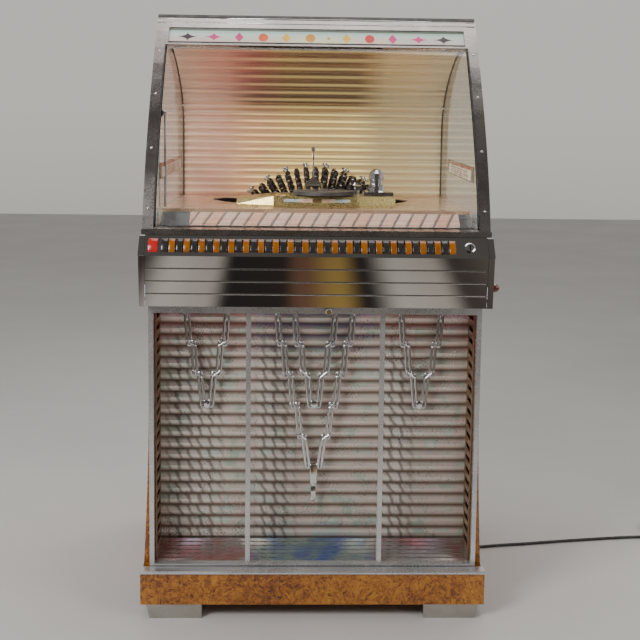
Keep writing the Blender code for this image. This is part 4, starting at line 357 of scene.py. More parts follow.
def burl_finish(name):
    """Figured burl under gloss: warped clouds give the figure, small cells the eyes, with thin dark veins."""
    _, nodes, shader = new_material(name, coat_weight=0.45, coat_roughness=0.12)
    spot = nodes.place()
    warp = nodes.noise(16.0, 4.0, 0.6, spot, "Color")
    moved = nodes.add("ShaderNodeVectorMath", {0: warp, 1: (0.07, 0.07, 0.07), 2: spot},
                      operation="MULTIPLY_ADD")
    cloud = nodes.noise(62.0, 6.0, 0.68, moved, distortion=1.2)
    eyes = nodes.add("ShaderNodeTexVoronoi", {0: moved, "Scale": 150.0}, output="Distance")
    figure = nodes.math("ADD", nodes.span(eyes, 0.0, 0.5, -0.16, 0.05), cloud)
    figure = nodes.times_add(nodes.minus(nodes.noise(6.0, 3.0), 0.5), 0.35, figure)
    nodes.put(nodes.ramp(figure, (
        (0.26, (0.055, 0.013, 0.003)), (0.38, (0.145, 0.038, 0.006)), (0.48, (0.29, 0.088, 0.009)),
        (0.58, (0.43, 0.160, 0.014)), (0.74, (0.56, 0.25, 0.028)))), shader["Base Color"])
    nodes.wear(shader, 8.0, 0.24, 0.40)
    nodes.bump(figure, 0.06, 0.0006, shader["Normal"])


# Screen of the door: foot and pitch of its ribs, waves of its mesh, pitch of its painted glints and where they
# stand
SCREEN_FOOT, SCREEN_PITCH, MESH_WAVES, GLINT_PITCH = 0.150, 0.607 / 21, 2 * math.pi / 0.0034, 0.0265
GLINT_PLACES = ((-0.362, -0.235), (-0.140, -0.060), (0.166, 0.240))


def screen_finish(name, ladder=False):
    """Champagne screen, or the darker returns at its sides.

    Each rib has a painted silver highlight at its top and painted brown shade in its valley, and the painted
    highlight colour drifts through rose and green. Slanting painted glints, reflections of the chains, stand in
    rows at the left of each bay. A fine woven mesh dimples it, and the lamp above tints its top with painted
    light, rose at the sides and violet in the middle."""
    _, nodes, shader = new_material(name, metallic=0.6)
    x, z = nodes.place("X"), nodes.place("Z")
    rib = nodes.cycle(z, SCREEN_FOOT, SCREEN_PITCH)
    if ladder:
        tone = nodes.drift((0.34, 0.20, 0.11), (0.24, 0.14, 0.08), 14.0)
    else:
        # painted highlight on the top of each rib, painted brown shade in its valley
        rib_highlight = nodes.span(nodes.away(rib, 0.5), 0.20, 0.47, 1.0, 0.0)
        painted_sheen = nodes.ramp(nodes.noise(17.0, 4.0, 0.6), (
            (0.34, (0.58, 0.70, 0.60)), (0.45, (0.84, 0.78, 0.68)), (0.55, (0.88, 0.72, 0.66)),
            (0.62, (0.66, 0.78, 0.68)), (0.70, (0.88, 0.84, 0.78))))
        # painted glints: slanted reflections of the chains, in rows at the left of each bay, lower down
        slant = nodes.times_add(rib, 0.013, nodes.times_add(nodes.noise(30.0, 2.0), 0.022, x))
        dash = nodes.span(nodes.away(nodes.cycle(slant, 0.0, GLINT_PITCH), 0.5), 0.26, 0.42, 1.0, 0.0)
        glints = nodes.between(nodes.times(dash, rib_highlight), (0.13, 0.10, 0.08),
                               nodes.between(0.5, painted_sheen, (1.0, 1.0, 0.96)))
        zone = 0.0
        for low, high in GLINT_PLACES:
            start = nodes.span(x, low - 0.012, low + 0.008)
            end = nodes.span(x, high + 0.030, high - 0.020)
            zone = nodes.math("MAXIMUM", zone, nodes.times(start, end))
        zone = nodes.times(zone, nodes.span(z, 0.72, 0.60, 0.0, 0.62))
        tone = nodes.between(zone, nodes.between(rib_highlight, (0.24, 0.165, 0.125), painted_sheen), glints)
    across = nodes.times(nodes.place("Y") if ladder else x, MESH_WAVES)
    weave = nodes.times(nodes.math("SINE", across), nodes.math("SINE", nodes.times(z, MESH_WAVES)))
    tone = nodes.between(nodes.times(nodes.span(weave, 0.1, 0.8), 0.40), tone, (0.10, 0.07, 0.05))
    # painted lamp light on the top: violet in the middle, rose at the sides
    tint = nodes.between(nodes.span(nodes.away(x), 0.14, 0.17), (0.10, 0.08, 0.42), (0.50, 0.05, 0.05))
    top = nodes.times(nodes.span(z, 0.60, 0.74), nodes.span(rib, 0.55, 0.72, 0.15, 1.0))
    nodes.put(nodes.between(nodes.times(top, 0.55), tone, tint), shader["Base Color"])
    nodes.wear(shader, 20.0, 0.24, 0.40)
    nodes.bump(weave, 0.25, 0.0004, shader["Normal"])


REFLECTOR_FOOT, REFLECTOR_PITCH, REFLECTOR_HALF = 0.9823, 0.0203, 0.37


def reflector_finish(name):
    """Gold reflector with painted light in bands: rose at the left, orange, yellow in the middle, olive at the
    right.

    Each rib has a painted glow along its top below the bend, rose light is painted over the upper left, and the
    upper middle lies in painted brown shade."""
    # painted light: the reflector is no lamp, yet glows with painted emission
    _, nodes, shader = new_material(name, metallic=0.65, emission_strength=1.25)
    x, z = nodes.place("X"), nodes.place("Z")
    wave = nodes.minus(nodes.noise(5.0, 2.0), 0.5)
    glow = nodes.ramp(nodes.times_add(wave, 0.16, nodes.span(x, -REFLECTOR_HALF, REFLECTOR_HALF)), (
        (0.0, (0.70, 0.34, 0.26)), (0.12, (0.80, 0.34, 0.26)), (0.26, (0.92, 0.44, 0.15)),
        (0.42, (1.0, 0.66, 0.13)), (0.62, (0.97, 0.68, 0.18)), (0.80, (0.66, 0.52, 0.20)),
        (1.0, (0.56, 0.46, 0.24))))
    # painted brown shade over the upper middle
    middle = nodes.times(nodes.span(x, -0.24, -0.16), nodes.span(x, 0.20, 0.12))
    shade = nodes.times(nodes.times(middle, nodes.span(z, 1.215, 1.25)), 0.82)
    base = nodes.between(shade, nodes.between(0.50, (0.92, 0.76, 0.58), glow), (0.24, 0.150, 0.10))
    # painted rose light over the upper left
    painted_rose_light = nodes.times(nodes.span(x, -0.34, -0.20), nodes.span(x, -0.08, -0.16))
    painted_rose_light = nodes.times(nodes.times(painted_rose_light, nodes.span(z, 1.24, 1.30)), 0.5)
    base = nodes.between(painted_rose_light, base, (0.62, 0.16, 0.24))
    nodes.put(base, shader["Base Color"])
    brushed = nodes.group("brushing", stretch=(12, 600, 800), depth=0.06, low=0.14, high=0.26)
    nodes.put(brushed["Rough"], shader["Roughness"])
    # painted glow along the top of each rib, below the bend
    rib = nodes.cycle(z, REFLECTOR_FOOT, REFLECTOR_PITCH)
    rib_highlight = nodes.span(nodes.away(rib, 0.62), 0.03, 0.26, 1.0, 0.0)
    lit = nodes.times(rib_highlight, nodes.span(z, 1.21, 1.245, 1.0, 0.30))
    band = nodes.times(lit, nodes.times_add(middle, 0.70, 0.30))
    faint = nodes.between(shade, nodes.between(0.90, base, (0.0, 0.0, 0.0)), (0.02, 0.012, 0.01))
    bright = nodes.between(0.35, glow, (1.0, 0.86, 0.42))
    nodes.put(nodes.between(band, faint, bright), shader["Emission Color"])


def recess_finish(name):
    """Ribbed chrome floor of the recess with painted coloured light: green and blue pools in the middle bay,
    rose in the outer ones.
    """
    _, nodes, shader = new_material(name, metallic=0.9)
    # painted coloured light from the lamps, in pools over the plain chrome
    light_pool = nodes.noise(13.0, 3.0, 0.6)
    share = nodes.span(light_pool, 0.42, 0.60)
    middle = nodes.between(share, (0.10, 0.42, 0.34), (0.10, 0.20, 0.62))
    side = nodes.between(share, (0.40, 0.36, 0.34), (0.50, 0.20, 0.18))
    tint = nodes.between(nodes.span(nodes.away(nodes.place("X")), 0.13, 0.17), middle, side)
    worn = nodes.drift((0.56, 0.55, 0.54), (0.44, 0.43, 0.42), 9.0)
    nodes.put(nodes.between(nodes.span(light_pool, 0.36, 0.62, 0.15, 0.75), worn, tint), shader["Base Color"])
    nodes.wear(shader, 24.0, 0.10, 0.26)
    nodes.put(nodes.group("cast grain", scale=260.0, depth=0.05)["Normal"], shader["Normal"])


def strip_finish(name):
    """Lit name strip: pale green, with rose, orange, yellow and rose again glowing along its lower half."""
    _, nodes, shader = new_material(name, emission_strength=0.5)
    glow = nodes.ramp(nodes.span(nodes.place("X"), -0.374, 0.374), (
        (0.0, (0.75, 0.34, 0.36)), (0.16, (0.92, 0.16, 0.20)), (0.32, (0.98, 0.34, 0.08)),
        (0.5, (0.98, 0.80, 0.14)), (0.70, (0.97, 0.40, 0.12)), (0.86, (0.94, 0.12, 0.26)),
        (1.0, (0.62, 0.30, 0.36))))
    low = nodes.span(nodes.place("Z"), 1.376, 1.416, 1.0, 0.0)
    cloud = nodes.span(nodes.noise(9.0, 3.0), 0.3, 0.6, 0.55, 0.95)
    tone = nodes.between(nodes.times(low, cloud), (0.60, 0.78, 0.68), glow)
    nodes.put(nodes.between(0.45, tone, (0.10, 0.10, 0.09)), shader["Base Color"])
    nodes.put(tone, shader["Emission Color"])
    nodes.wear(shader, 14.0, 0.16, 0.30)


# Lamp finish: colour in the middle and at the ends, strength
LAMPS = {
    "lamp_glass_finish": ((1.0, 0.93, 0.80), (0.95, 0.62, 0.42), 2.6),
    "screen_lamp_finish": ((1.0, 0.78, 0.70), (0.75, 0.72, 1.0), 2.2),
}


def lamp_finish(name):
    """Frosted lamp that changes tone towards its ends."""
    centre, ends, strength = LAMPS[name]
    _, nodes, shader = new_material(name, emission_strength=strength)
    share = nodes.span(nodes.away(nodes.place("X")), 0.24, 0.36)
    speck = nodes.times(nodes.noise(60.0, 2.0), 0.15)
    tone = nodes.between(nodes.math("MAXIMUM", share, speck), centre, ends)
    nodes.put(tone, shader["Base Color"])
    nodes.put(tone, shader["Emission Color"])
    nodes.wear(shader, 30.0, 0.35, 0.5)


def glass_finish(name):
    """Clear glass with faint smears; shadow rays pass, so that the lamps and the room light the inside."""
    _, nodes, shader = new_material(name, transmission_weight=1.0)
    shader["IOR"].default_value = 1.45
    nodes.put(nodes.drift((0.96, 0.985, 0.98), (0.93, 0.965, 0.96), 2.0), shader["Base Color"])
    nodes.wear(shader, 6.0, 0.0, 0.035)
    shadow = nodes.add("ShaderNodeLightPath", output="Is Shadow Ray")
    nodes.put(nodes.times_add(shadow, -0.9, 1.0), shader["Alpha"])


# Title cards: foot and head of their slope, lean, first place and pitch; middle and half of the row, its foot
TITLE_FOOT, TITLE_HEAD, CARD_LEAN, CARD_FIRST, CARD_PITCH = 0.9440, 0.9735, -0.0210, 0.304, 0.0324
TITLE_MIDDLE, TITLE_HALF, TITLE_EDGE = 0.020, 0.324, 0.9452


def title_finish(name):
    """Title cards: peach paper, each with its own tint, dark edges, a centre band and rows of fine bars."""
    _, nodes, shader = new_material(name, coat_weight=0.4)
    x, z = nodes.place("X"), nodes.place("Z")
    height = nodes.span(z, TITLE_FOOT, TITLE_HEAD)
    card = nodes.times_add(height, CARD_LEAN, nodes.math("ADD", x, CARD_FIRST))
    card = nodes.math("DIVIDE", card, CARD_PITCH)
    number, aside = nodes.math("FLOOR", card), nodes.away(nodes.math("FRACT", card), 0.5)
    tint = nodes.add("ShaderNodeTexWhiteNoise", {"W": number}, noise_dimensions="1D")
    paper = nodes.between(tint, (0.66, 0.33, 0.20), (0.66, 0.42, 0.31))
    band = nodes.math("LESS_THAN", nodes.away(height, 0.5), 0.07)
    paper = nodes.between(nodes.times(band, 0.30), paper, (0.62, 0.12, 0.08))
    rows = nodes.times(height, 6.0)
    spot = nodes.add("ShaderNodeCombineXYZ", {0: nodes.times(x, 700.0), 1: nodes.times(number, 7.3),
                                              2: nodes.math("FLOOR", rows)})
    bars = nodes.span(nodes.noise(1.0, 1.0, spot=spot), 0.47, 0.50)
    row = nodes.math("LESS_THAN", nodes.away(nodes.math("FRACT", rows), 0.5), 0.20)
    inner = nodes.math("LESS_THAN", aside, 0.38)
    ink = nodes.times(nodes.times(bars, row), nodes.times(inner, 0.45))
    paper = nodes.between(ink, paper, (0.10, 0.05, 0.05))
    edge = nodes.times(nodes.math("GREATER_THAN", aside, 0.405), 0.85)
    outside = nodes.math("GREATER_THAN", nodes.away(x, TITLE_MIDDLE), TITLE_HALF)
    low = nodes.math("LESS_THAN", z, TITLE_EDGE)
    dark = nodes.math("MAXIMUM", nodes.math("MAXIMUM", edge, outside), low)
    nodes.put(nodes.between(dark, paper, (0.035, 0.028, 0.026)), shader["Base Color"])
    nodes.wear(shader, 20.0, 0.16, 0.32)


SPECIAL = {
    "burl_laminate": burl_finish, "champagne_screen": screen_finish, "gold_reflector": reflector_finish,
    "lit_strip": strip_finish, "clear_glass": glass_finish, "lamp_glass": lamp_finish, "recess": recess_finish,
    "title_card": title_finish, "ladder": lambda name: screen_finish(name, True),
}


def finish(slot, name=None):
    """The material of a slot, made the first time it is asked for."""
    name = name or f"{slot}_finish"
    if name not in bpy.data.materials:
        if slot in SPECIAL:
            SPECIAL[slot](name)
        else:
            plain_finish(name, slot)
    return bpy.data.materials[name]


def web(points, wrap_rows=False, wrap_columns=False, caps=False):
    """Corners and faces of a grid (rows, columns, 3).

    Wrapped ways close on themselves, and caps close the end rows."""
    rows, columns = points.shape[:2]
    index = np.arange(rows * columns).reshape(rows, columns)
    down = np.roll(index, -1, 0) if wrap_rows else index[1:]
    here = index if wrap_rows else index[:-1]
    if wrap_columns:
        quads = np.stack([here, np.roll(here, -1, 1), np.roll(down, -1, 1), down], axis=2)
    else:
        quads = np.stack([here[:, :-1], here[:, 1:], down[:, 1:], down[:, :-1]], axis=2)
    faces = quads.reshape(-1, 4).tolist()
    if caps:
        faces += [index[0][::-1].tolist(), index[-1].tolist()]
    return points.reshape(-1, 3), faces


def made(name, shapes, body, slot, material=None, smooth=True, hides=()):
    """One piece from several shapes, faces turned outwards, riding on a body, with the given finish or else its
    slot's.
    """
    corners, faces, start = [], [], 0
    for points, ring_of_faces in shapes:
        corners.append(points)
        faces += [[corner + start for corner in face] for face in ring_of_faces]
        start += len(points)
    mesh = bpy.data.meshes.new(name)
    mesh.from_pydata(np.vstack(corners).tolist(), [], faces)
    worker = bmesh.new()
    worker.from_mesh(mesh)
    bmesh.ops.remove_doubles(worker, verts=worker.verts, dist=1e-6)
    bmesh.ops.recalc_face_normals(worker, faces=worker.faces)
    worker.to_mesh(mesh)
    worker.free()
    mesh.polygons.foreach_set("use_smooth", [smooth] * len(mesh.polygons))
    piece = linked(name, mesh)
    piece.data.materials.append(material or finish(slot))
    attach(piece, body)
    if hides:
        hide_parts(*hides)
    return piece


def ring(count):
    """Even angles once round."""
    return np.linspace(0, 2 * math.pi, count, endpoint=False)


def axes_of(direction):
    """The given direction and two others, square to it and to each other."""
    along = np.asarray(direction, float) / np.linalg.norm(direction)
    side = np.cross(along, (0, 0, 1) if abs(along[2]) < 0.9 else (1, 0, 0))
    side /= np.linalg.norm(side)
    return along, side, np.cross(along, side)


def turned(profile, origin, direction, sides=32):
    """A profile of (height, radius) turned round an axis: origin + h·axis + r·(cos, sin) of the angle."""
    along, side, rise = axes_of(direction)
    height, radius = np.asarray(profile, float).T
    angle = ring(sides)[None, :, None]
    points = (np.asarray(origin, float) + height[:, None, None] * along
              + radius[:, None, None] * (np.cos(angle) * side + np.sin(angle) * rise))
    return web(points, wrap_columns=True, caps=True)


def swept(line, radius, sides=10, closed=False, squash=(1.0, 1.0)):
    """A round section carried along a line.

    Each ring is square to the line. On a closed line the rings share the normal of its plane, and on an open
    one each takes the last one's side less its part along the line."""
    line = np.asarray(line, float)
    ahead = (np.roll(line, -1, 0) - np.roll(line, 1, 0)) if closed else np.gradient(line, axis=0)
    ahead /= np.linalg.norm(ahead, axis=1)[:, None]
    if closed:
        side = np.cross(ahead, np.linalg.svd(line - line.mean(axis=0))[2][2])
    else:
        side = np.empty_like(line)
        side[0] = axes_of(ahead[0])[1]
        for step in range(1, len(line)):
            carried_on = side[step - 1] - np.dot(side[step - 1], ahead[step]) * ahead[step]
            side[step] = carried_on / np.linalg.norm(carried_on)
    rise = np.cross(ahead, side)
    angle = ring(sides)[None, :, None]
    section = squash[0] * np.cos(angle) * side[:, None] + squash[1] * np.sin(angle) * rise[:, None]
    return web(line[:, None] + radius * section, wrap_rows=closed, wrap_columns=True, caps=not closed)


def slab(outline, low, high, axis=1):
    """A flat plate: the outline (in the two other axes, in x, y, z order) at two places along the axis."""
    rows = [np.insert(np.asarray(outline, float), axis, place, axis=1) for place in (low, high)]
    return web(np.stack(rows), wrap_columns=True, caps=True)


def carried(shape, origin, across, up, out):
    """A shape given in its own across, up and out moved onto a place with those directions."""
    points, faces = shape
    basis = np.stack([across, up, out]).astype(float)
    basis /= np.linalg.norm(basis, axis=1)[:, None]
    return points @ basis + np.asarray(origin, float), faces


def star(size, power, count=48):
    """Outline |x|^p + |y|^p = 1, scaled: a four pointed star below 1, a lozenge at 1, a disc at 2."""
    t = ring(count)
    corner = np.stack([np.cos(t), np.sin(t)], axis=1)
    return np.asarray(size) * np.sign(corner) * np.abs(corner) ** (2 / power) / 2


def pillow(size, power, rows, columns):
    """A crowned block: |x/a|^p + |y/b|^p + |z/c|^p = 1, from its latitude and longitude."""
    lat, lon = np.linspace(-math.pi / 2, math.pi / 2, rows)[:, None], ring(columns)[None, :]
    parts = np.broadcast_arrays(np.cos(lat) * np.cos(lon), np.cos(lat) * np.sin(lon), np.sin(lat))
    unit = np.stack(parts, axis=2)
    unit /= (np.abs(unit) ** power).sum(axis=2)[..., None] ** (1 / power)
    return web(unit * np.asarray(size) / 2, wrap_columns=True)


# Slope of the hood's front rails in y and z, and places along it
RAIL_CURVE = np.array([(-0.3000, 0.9380), (-0.2500, 1.1500), (-0.0080, 1.4570)])
HEADER_LENGTH, WINDOW_START, WINDOW_LENGTH, STRIP_FRONT = 0.0990, 0.0110, 0.0425, 0.0020


def rail_place(distance, offset=0.0):
    """Place in y and z on the quadratic curve of the rails, at a distance from its foot and out from it.

    Also the curve's run and outward direction there, and its whole length."""
    t = np.linspace(0, 1, 400)[:, None]
    low, middle, high = RAIL_CURVE
    curve = (1 - t) ** 2 * low + 2 * t * (1 - t) * middle + t ** 2 * high
    marks = np.concatenate([[0.0], np.cumsum(np.linalg.norm(np.diff(curve, axis=0), axis=1))])
    spot = np.stack([np.interp(distance, marks, curve[:, k]) for k in (0, 1)], axis=-1)
    run = np.stack([np.interp(distance, marks, np.gradient(curve[:, k], marks)) for k in (0, 1)], axis=-1)
    run /= np.linalg.norm(run, axis=-1, keepdims=True)
    out = np.stack([-run[..., 1], run[..., 0]], axis=-1)
    return spot + offset * out, run, out, marks[-1]


MARK_THICK, MARK_LIFT, DARK_GLOW, MARK_GLOW = 0.0006, 0.0002, 0.05, 0.22
# Mark: colour, strength, and each mark's place across, size and power
HEADER_MARKS = {
    "dark": ((0.05, 0.02, 0.03), DARK_GLOW, ((-0.327, (0.048, 0.026), 0.60), (0.322, (0.048, 0.026), 0.60))),
    "rose": ((0.72, 0.03, 0.22), MARK_GLOW, (
        (-0.261, (0.044, 0.026), 0.60), (0.258, (0.044, 0.026), 0.60),
        (-0.197, (0.022, 0.030), 1.0), (0.192, (0.022, 0.030), 1.0))),
    "orange": ((0.86, 0.13, 0.02), MARK_GLOW, ((-0.136, (0.024, 0.026), 2.0),)),
    "yellow": ((0.90, 0.52, 0.03), 0.25, ((-0.078, (0.022, 0.030), 1.0), (0.0751, (0.022, 0.030), 1.0))),
    "gold": ((0.78, 0.32, 0.02), MARK_GLOW, ((-0.0165, (0.024, 0.026), 2.0), (0.0293, (0.008, 0.008), 2.0))),
    "red": ((0.78, 0.03, 0.04), MARK_GLOW, ((0.1336, (0.024, 0.026), 2.0),)),
}


def film_finish(name, colour, strength):
    """Coloured film over the lit strip, a little uneven."""
    material, nodes, shader = new_material(name, emission_strength=strength)
    tone = nodes.drift(colour, tuple(0.78 * part for part in colour), 60.0)
    nodes.put(tone, shader["Base Color"])
    nodes.put(tone, shader["Emission Color"])
    nodes.wear(shader, 30.0, 0.2, 0.35)
    return material


def add_header_marks():
    """Two pairs of four pointed stars and a row of lozenges and discs on the lit strip."""
    length = rail_place(0.0)[3]
    middle = length - HEADER_LENGTH + WINDOW_START + WINDOW_LENGTH / 2
    (y, z), run, out, _ = rail_place(middle, STRIP_FRONT + MARK_LIFT)
    for title, (colour, strength, places) in HEADER_MARKS.items():
        shapes = []
        for x, size, power in places:
            mark = slab(star(size, power), 0.0, MARK_THICK, axis=2)
            shapes.append(carried(mark, (x, y, z), (1, 0, 0), (0, *run), (0, *out)))
        material = film_finish(f"film_{title}", colour, strength)
        made(f"header_marks_{title}", shapes, "hood_lid", "lit_strip", material, False)


# Keys on the slope: places up the slope, heights out of it
SLOPE_FOOT, SLOPE_HEAD = np.array((-0.3525, 0.8854)), np.array((-0.3220, 0.92825))
SLOPE_RUN = (SLOPE_HEAD - SLOPE_FOOT) / np.linalg.norm(SLOPE_HEAD - SLOPE_FOOT)
SLOPE_OUT = np.array((-SLOPE_RUN[1], SLOPE_RUN[0]))
KEY_FIRST, KEY_PITCH, KEY_WIDTH, BANK_KEYS = -0.3507, 0.0170, 0.0148, 10
KEY_LOW, KEY_HIGH, KEY_RIDGE = 0.0090, 0.0430, 0.0290
LOW_RISE, RIDGE_RISE, HIGH_RISE = 0.0022, 0.0065, 0.0038
RIDGE_DIP, DIP_WIDTH, END_DROP = 0.0009, 0.0030, 0.0010
KEY_SKIRT, STEM_WIDTH, STEM_FOOT = -0.0040, 0.0070, -0.0220
BAR_INSET, BAR_LOW, BAR_HIGH, BAR_OVERHANG = 0.0006, -0.0238, -0.0195, 0.0068
KEY_ROUNDING = ((0.0, 0.0009), (0.0005, 0.0003), (0.0013, 0.0))
RED_KEY, RED_WIDTH = -0.3770, 0.0220


def key_shape(middle, width, upper):
    """A section carried across x: rounded crown, skirt and stem; its end rings shrink to round the sides."""
    crown = np.linspace(KEY_HIGH, KEY_LOW, 9)
    lift = np.interp(crown, (KEY_LOW, KEY_RIDGE, KEY_HIGH), (LOW_RISE, RIDGE_RISE, HIGH_RISE))
    lift -= RIDGE_DIP * np.exp(-((crown - KEY_RIDGE) / DIP_WIDTH) ** 2)
    lift[[0, -1]] -= END_DROP
    if upper:
        stem = KEY_HIGH - STEM_WIDTH
        under = [(KEY_LOW, KEY_SKIRT), (stem, KEY_SKIRT), (stem, STEM_FOOT), (KEY_HIGH, STEM_FOOT)]
    else:
        stem = KEY_LOW + STEM_WIDTH
        under = [(KEY_LOW, STEM_FOOT), (stem, STEM_FOOT), (stem, KEY_SKIRT), (KEY_HIGH, KEY_SKIRT)]
    section = np.vstack([np.stack([crown, lift], axis=1), under])
    ends = [(inward - width / 2, inset) for inward, inset in KEY_ROUNDING]
    rings = []
    for place, inset in ends + [(-place, inset) for place, inset in reversed(ends)]:
        shrunk = section - [0.0, inset] * (section[:, 1:] > 0)
        spot = SLOPE_FOOT + shrunk[:, :1] * SLOPE_RUN + shrunk[:, 1:] * SLOPE_OUT
        rings.append(np.column_stack([np.full(len(spot), middle + place), spot]))
    return web(np.stack(rings), wrap_columns=True, caps=True)


def add_keys():
    """Forty crowned keys, black and amber in turn, on their four bars, and the red key."""
    for first, colour in enumerate(("black", "amber")):
        stem = KEY_HIGH - STEM_WIDTH if colour == "amber" else KEY_LOW
        low, high = stem + BAR_INSET, stem + STEM_WIDTH - BAR_INSET
        corners = [(low, BAR_LOW), (high, BAR_LOW), (high, BAR_HIGH), (low, BAR_HIGH)]
        spots = [SLOPE_FOOT + s * SLOPE_RUN + h * SLOPE_OUT for s, h in corners]
        for bank, side in enumerate(("left", "right")):
            places = first + 2 * (BANK_KEYS * bank + np.arange(BANK_KEYS))
            middles = KEY_FIRST + KEY_PITCH * places
            shapes = [key_shape(middle, KEY_WIDTH, colour == "amber") for middle in middles]
            shapes.append(slab(spots, middles[0] - BAR_OVERHANG, middles[-1] + BAR_OVERHANG, axis=0))
            name = f"{colour}_keys_{side}"
            made(f"crowned_{name}", shapes, name, f"{colour}_plastic", hides=(name,))
    red = [key_shape(RED_KEY, RED_WIDTH, False)]
    made("crowned_red_key", red, "red_key", "red_plastic", hides=("red_key",))


# Record wheel
WHEEL = np.array((0.0040, 0.1075, 0.8160))
RECORD_RADIUS, WHEEL_RADIUS, RECORDS, LABEL_SHARE = 0.0875, 0.2620, 60, 0.52
# Half of a record's section as radius and half thickness; sections of the hub and rim as depth and radius
RECORD_SECTION = ((0.0190, 0.00075), (0.0450, 0.00075), (0.0452, 0.00050), (0.0868, 0.00050),
                  (RECORD_RADIUS, 0.00025))
HUB_SECTION = ((-0.0930, 0.0120), (-0.0930, 0.0560), (-0.0900, 0.0580), (0.0780, 0.0580), (0.0820, 0.0120))
RIM_SECTION = ((0.0825, 0.1300), (0.0825, 0.1495), (0.0945, 0.1500), (0.0945, 0.1450), (0.0860, 0.1440),
               (0.0860, 0.1300))
AXLE_BACK, AXLE_FRONT, AXLE_RADIUS = 0.0950, -0.0990, 0.0060
SIDE_INNER, SIDE_OUTER, TOOTH, SIDE_FAR, SIDE_NEAR = 0.0560, 0.0900, 0.0170, 0.0850, 0.0820
SPOKES, SPOKE_START, SPOKE_END, SPOKE_DEPTH, SPOKE_RADIUS = 6, 0.050, 0.136, 0.0842, 0.0042


def record_finish(name):
    """Record: fine grooves ring its centre by the UV radius, and each has its own plain label."""
    material, nodes, shader = new_material(name)
    spot = nodes.add("ShaderNodeUVMap", uv_map="disc")
    out, number = (nodes.add("ShaderNodeSeparateXYZ", {0: spot}, output=axis) for axis in ("X", "Y"))
    label = nodes.math("LESS_THAN", out, LABEL_SHARE)
    pick = nodes.add("ShaderNodeTexWhiteNoise", {"W": nodes.math("FLOOR", number)}, noise_dimensions="1D")
    tint = nodes.ramp(pick, ((0.0, (0.62, 0.08, 0.05)), (0.3, (0.75, 0.55, 0.12)), (0.6, (0.10, 0.20, 0.45)),
                             (1.0, (0.75, 0.72, 0.66))))
    dark = nodes.drift((0.022, 0.020, 0.021), (0.034, 0.031, 0.032), 30.0)
    nodes.put(nodes.between(label, dark, tint), shader["Base Color"])
    nodes.wear(shader, 16.0, 0.16, 0.30)
    grooves = nodes.times(nodes.math("SINE", nodes.times(out, 420.0)), nodes.minus(1.0, label))
    nodes.bump(grooves, 0.3, 0.0002, shader["Normal"])
    return material


def add_records():
    """Sixty discs set radially in the wheel: place = wheel + spoke·(cos, sin), face square to the rim's run.

    The UV of a corner is its share of the record's radius and the record's number."""
    turn, t = ring(RECORDS)[:, None, None], ring(28)[None, None, :]
    half = np.array(RECORD_SECTION)
    radius, thick = np.vstack([(half[0, 0], 0.0), half, half[::-1] * (1, -1)]).T[:, :, None]
    spoke, along = WHEEL_RADIUS - RECORD_RADIUS + radius * np.cos(t), radius * np.sin(t)
    x = WHEEL[0] + spoke * np.cos(turn) - thick * np.sin(turn)
    z = WHEEL[2] + spoke * np.sin(turn) + thick * np.cos(turn)
    points = np.stack([x, WHEEL[1] + along + 0 * x, z], axis=-1)
    shapes = [web(disc, wrap_rows=True, wrap_columns=True) for disc in points]
    mesh = made("records", shapes, "magazine_wheel", "record_vinyl", record_finish("record_grooves")).data
    corner = np.empty(len(mesh.loops), int)
    mesh.loops.foreach_get("vertex_index", corner)
    spots = np.empty(len(mesh.vertices) * 3)
    mesh.vertices.foreach_get("co", spots)
    x, y, z = (spots.reshape(-1, 3) - WHEEL).T
    number = np.round(np.arctan2(z, x) / (2 * math.pi) * RECORDS) % RECORDS
    out = np.hypot(np.hypot(x, z) - (WHEEL_RADIUS - RECORD_RADIUS), y) / RECORD_RADIUS
    uv = mesh.uv_layers.new(name="disc")
    uv.data.foreach_set("uv", np.stack([out, number + 0.5], axis=1)[corner].ravel())


def round_wheel(radius, depth, angle):
    """Places round the wheel's axis: wheel + radius·(cos, sin) in x and z, and the depth in y."""
    return np.stack([WHEEL[0] + radius * np.cos(angle), WHEEL[1] + depth + 0 * angle,
                     WHEEL[2] + radius * np.sin(angle)], axis=-1)


def add_wheel_frame():
    """Hub, axle, spokes, back rim and two slotted side rings, all but the spokes turned round the axis."""
    shapes = [turned(((AXLE_FRONT, AXLE_RADIUS), (AXLE_BACK, AXLE_RADIUS)), WHEEL, (0, 1, 0), 24),
              turned(HUB_SECTION, WHEEL, (0, 1, 0), 64)]
    t = ring(240)
    teeth = 0.5 + 0.5 * np.tanh(3 * np.cos(RECORDS * t + math.pi))
    inner, outer = SIDE_INNER + 0 * t, SIDE_OUTER + TOOTH * teeth
    radius = np.stack([inner, outer, outer, inner])
    for side in (-1, 1):
        depth = side * np.array((SIDE_FAR, SIDE_FAR, SIDE_NEAR, SIDE_NEAR))[:, None]
        shapes.append(web(round_wheel(radius, depth, t), wrap_rows=True, wrap_columns=True))
    depth, radius = np.array(RIM_SECTION).T[:, :, None]
    shapes.append(web(round_wheel(radius, depth, ring(96)), wrap_rows=True, wrap_columns=True))
    for spoke in ring(SPOKES):
        line = round_wheel(np.linspace(SPOKE_START, SPOKE_END, 4), SPOKE_DEPTH, np.full(4, spoke))
        shapes.append(swept(line, SPOKE_RADIUS, 10, squash=(1.6, 0.5)))
    made("wheel_frame", shapes, "magazine_wheel", "record_vinyl", finish("grey_casting"),
         hides=("magazine_wheel",))


# Clips of the records: depths of the rows, foot and length along the spoke, radius, ribs; their winged nuts
CLIP_ROWS, CLIP_FOOT, CLIP_LENGTH, CLIP_RADIUS, CLIP_RIBS = (0.0400, 0.1750), 0.1930, 0.0640, 0.0074, 5
NUT_SECTION = ((0.2560, 0.0020), (0.2660, 0.0020), (0.2665, 0.0012))
WING_PLACE, WING_ASIDE, WING_SIZE = 0.2640, 0.0044, (0.0062, 0.0090, 0.0018)


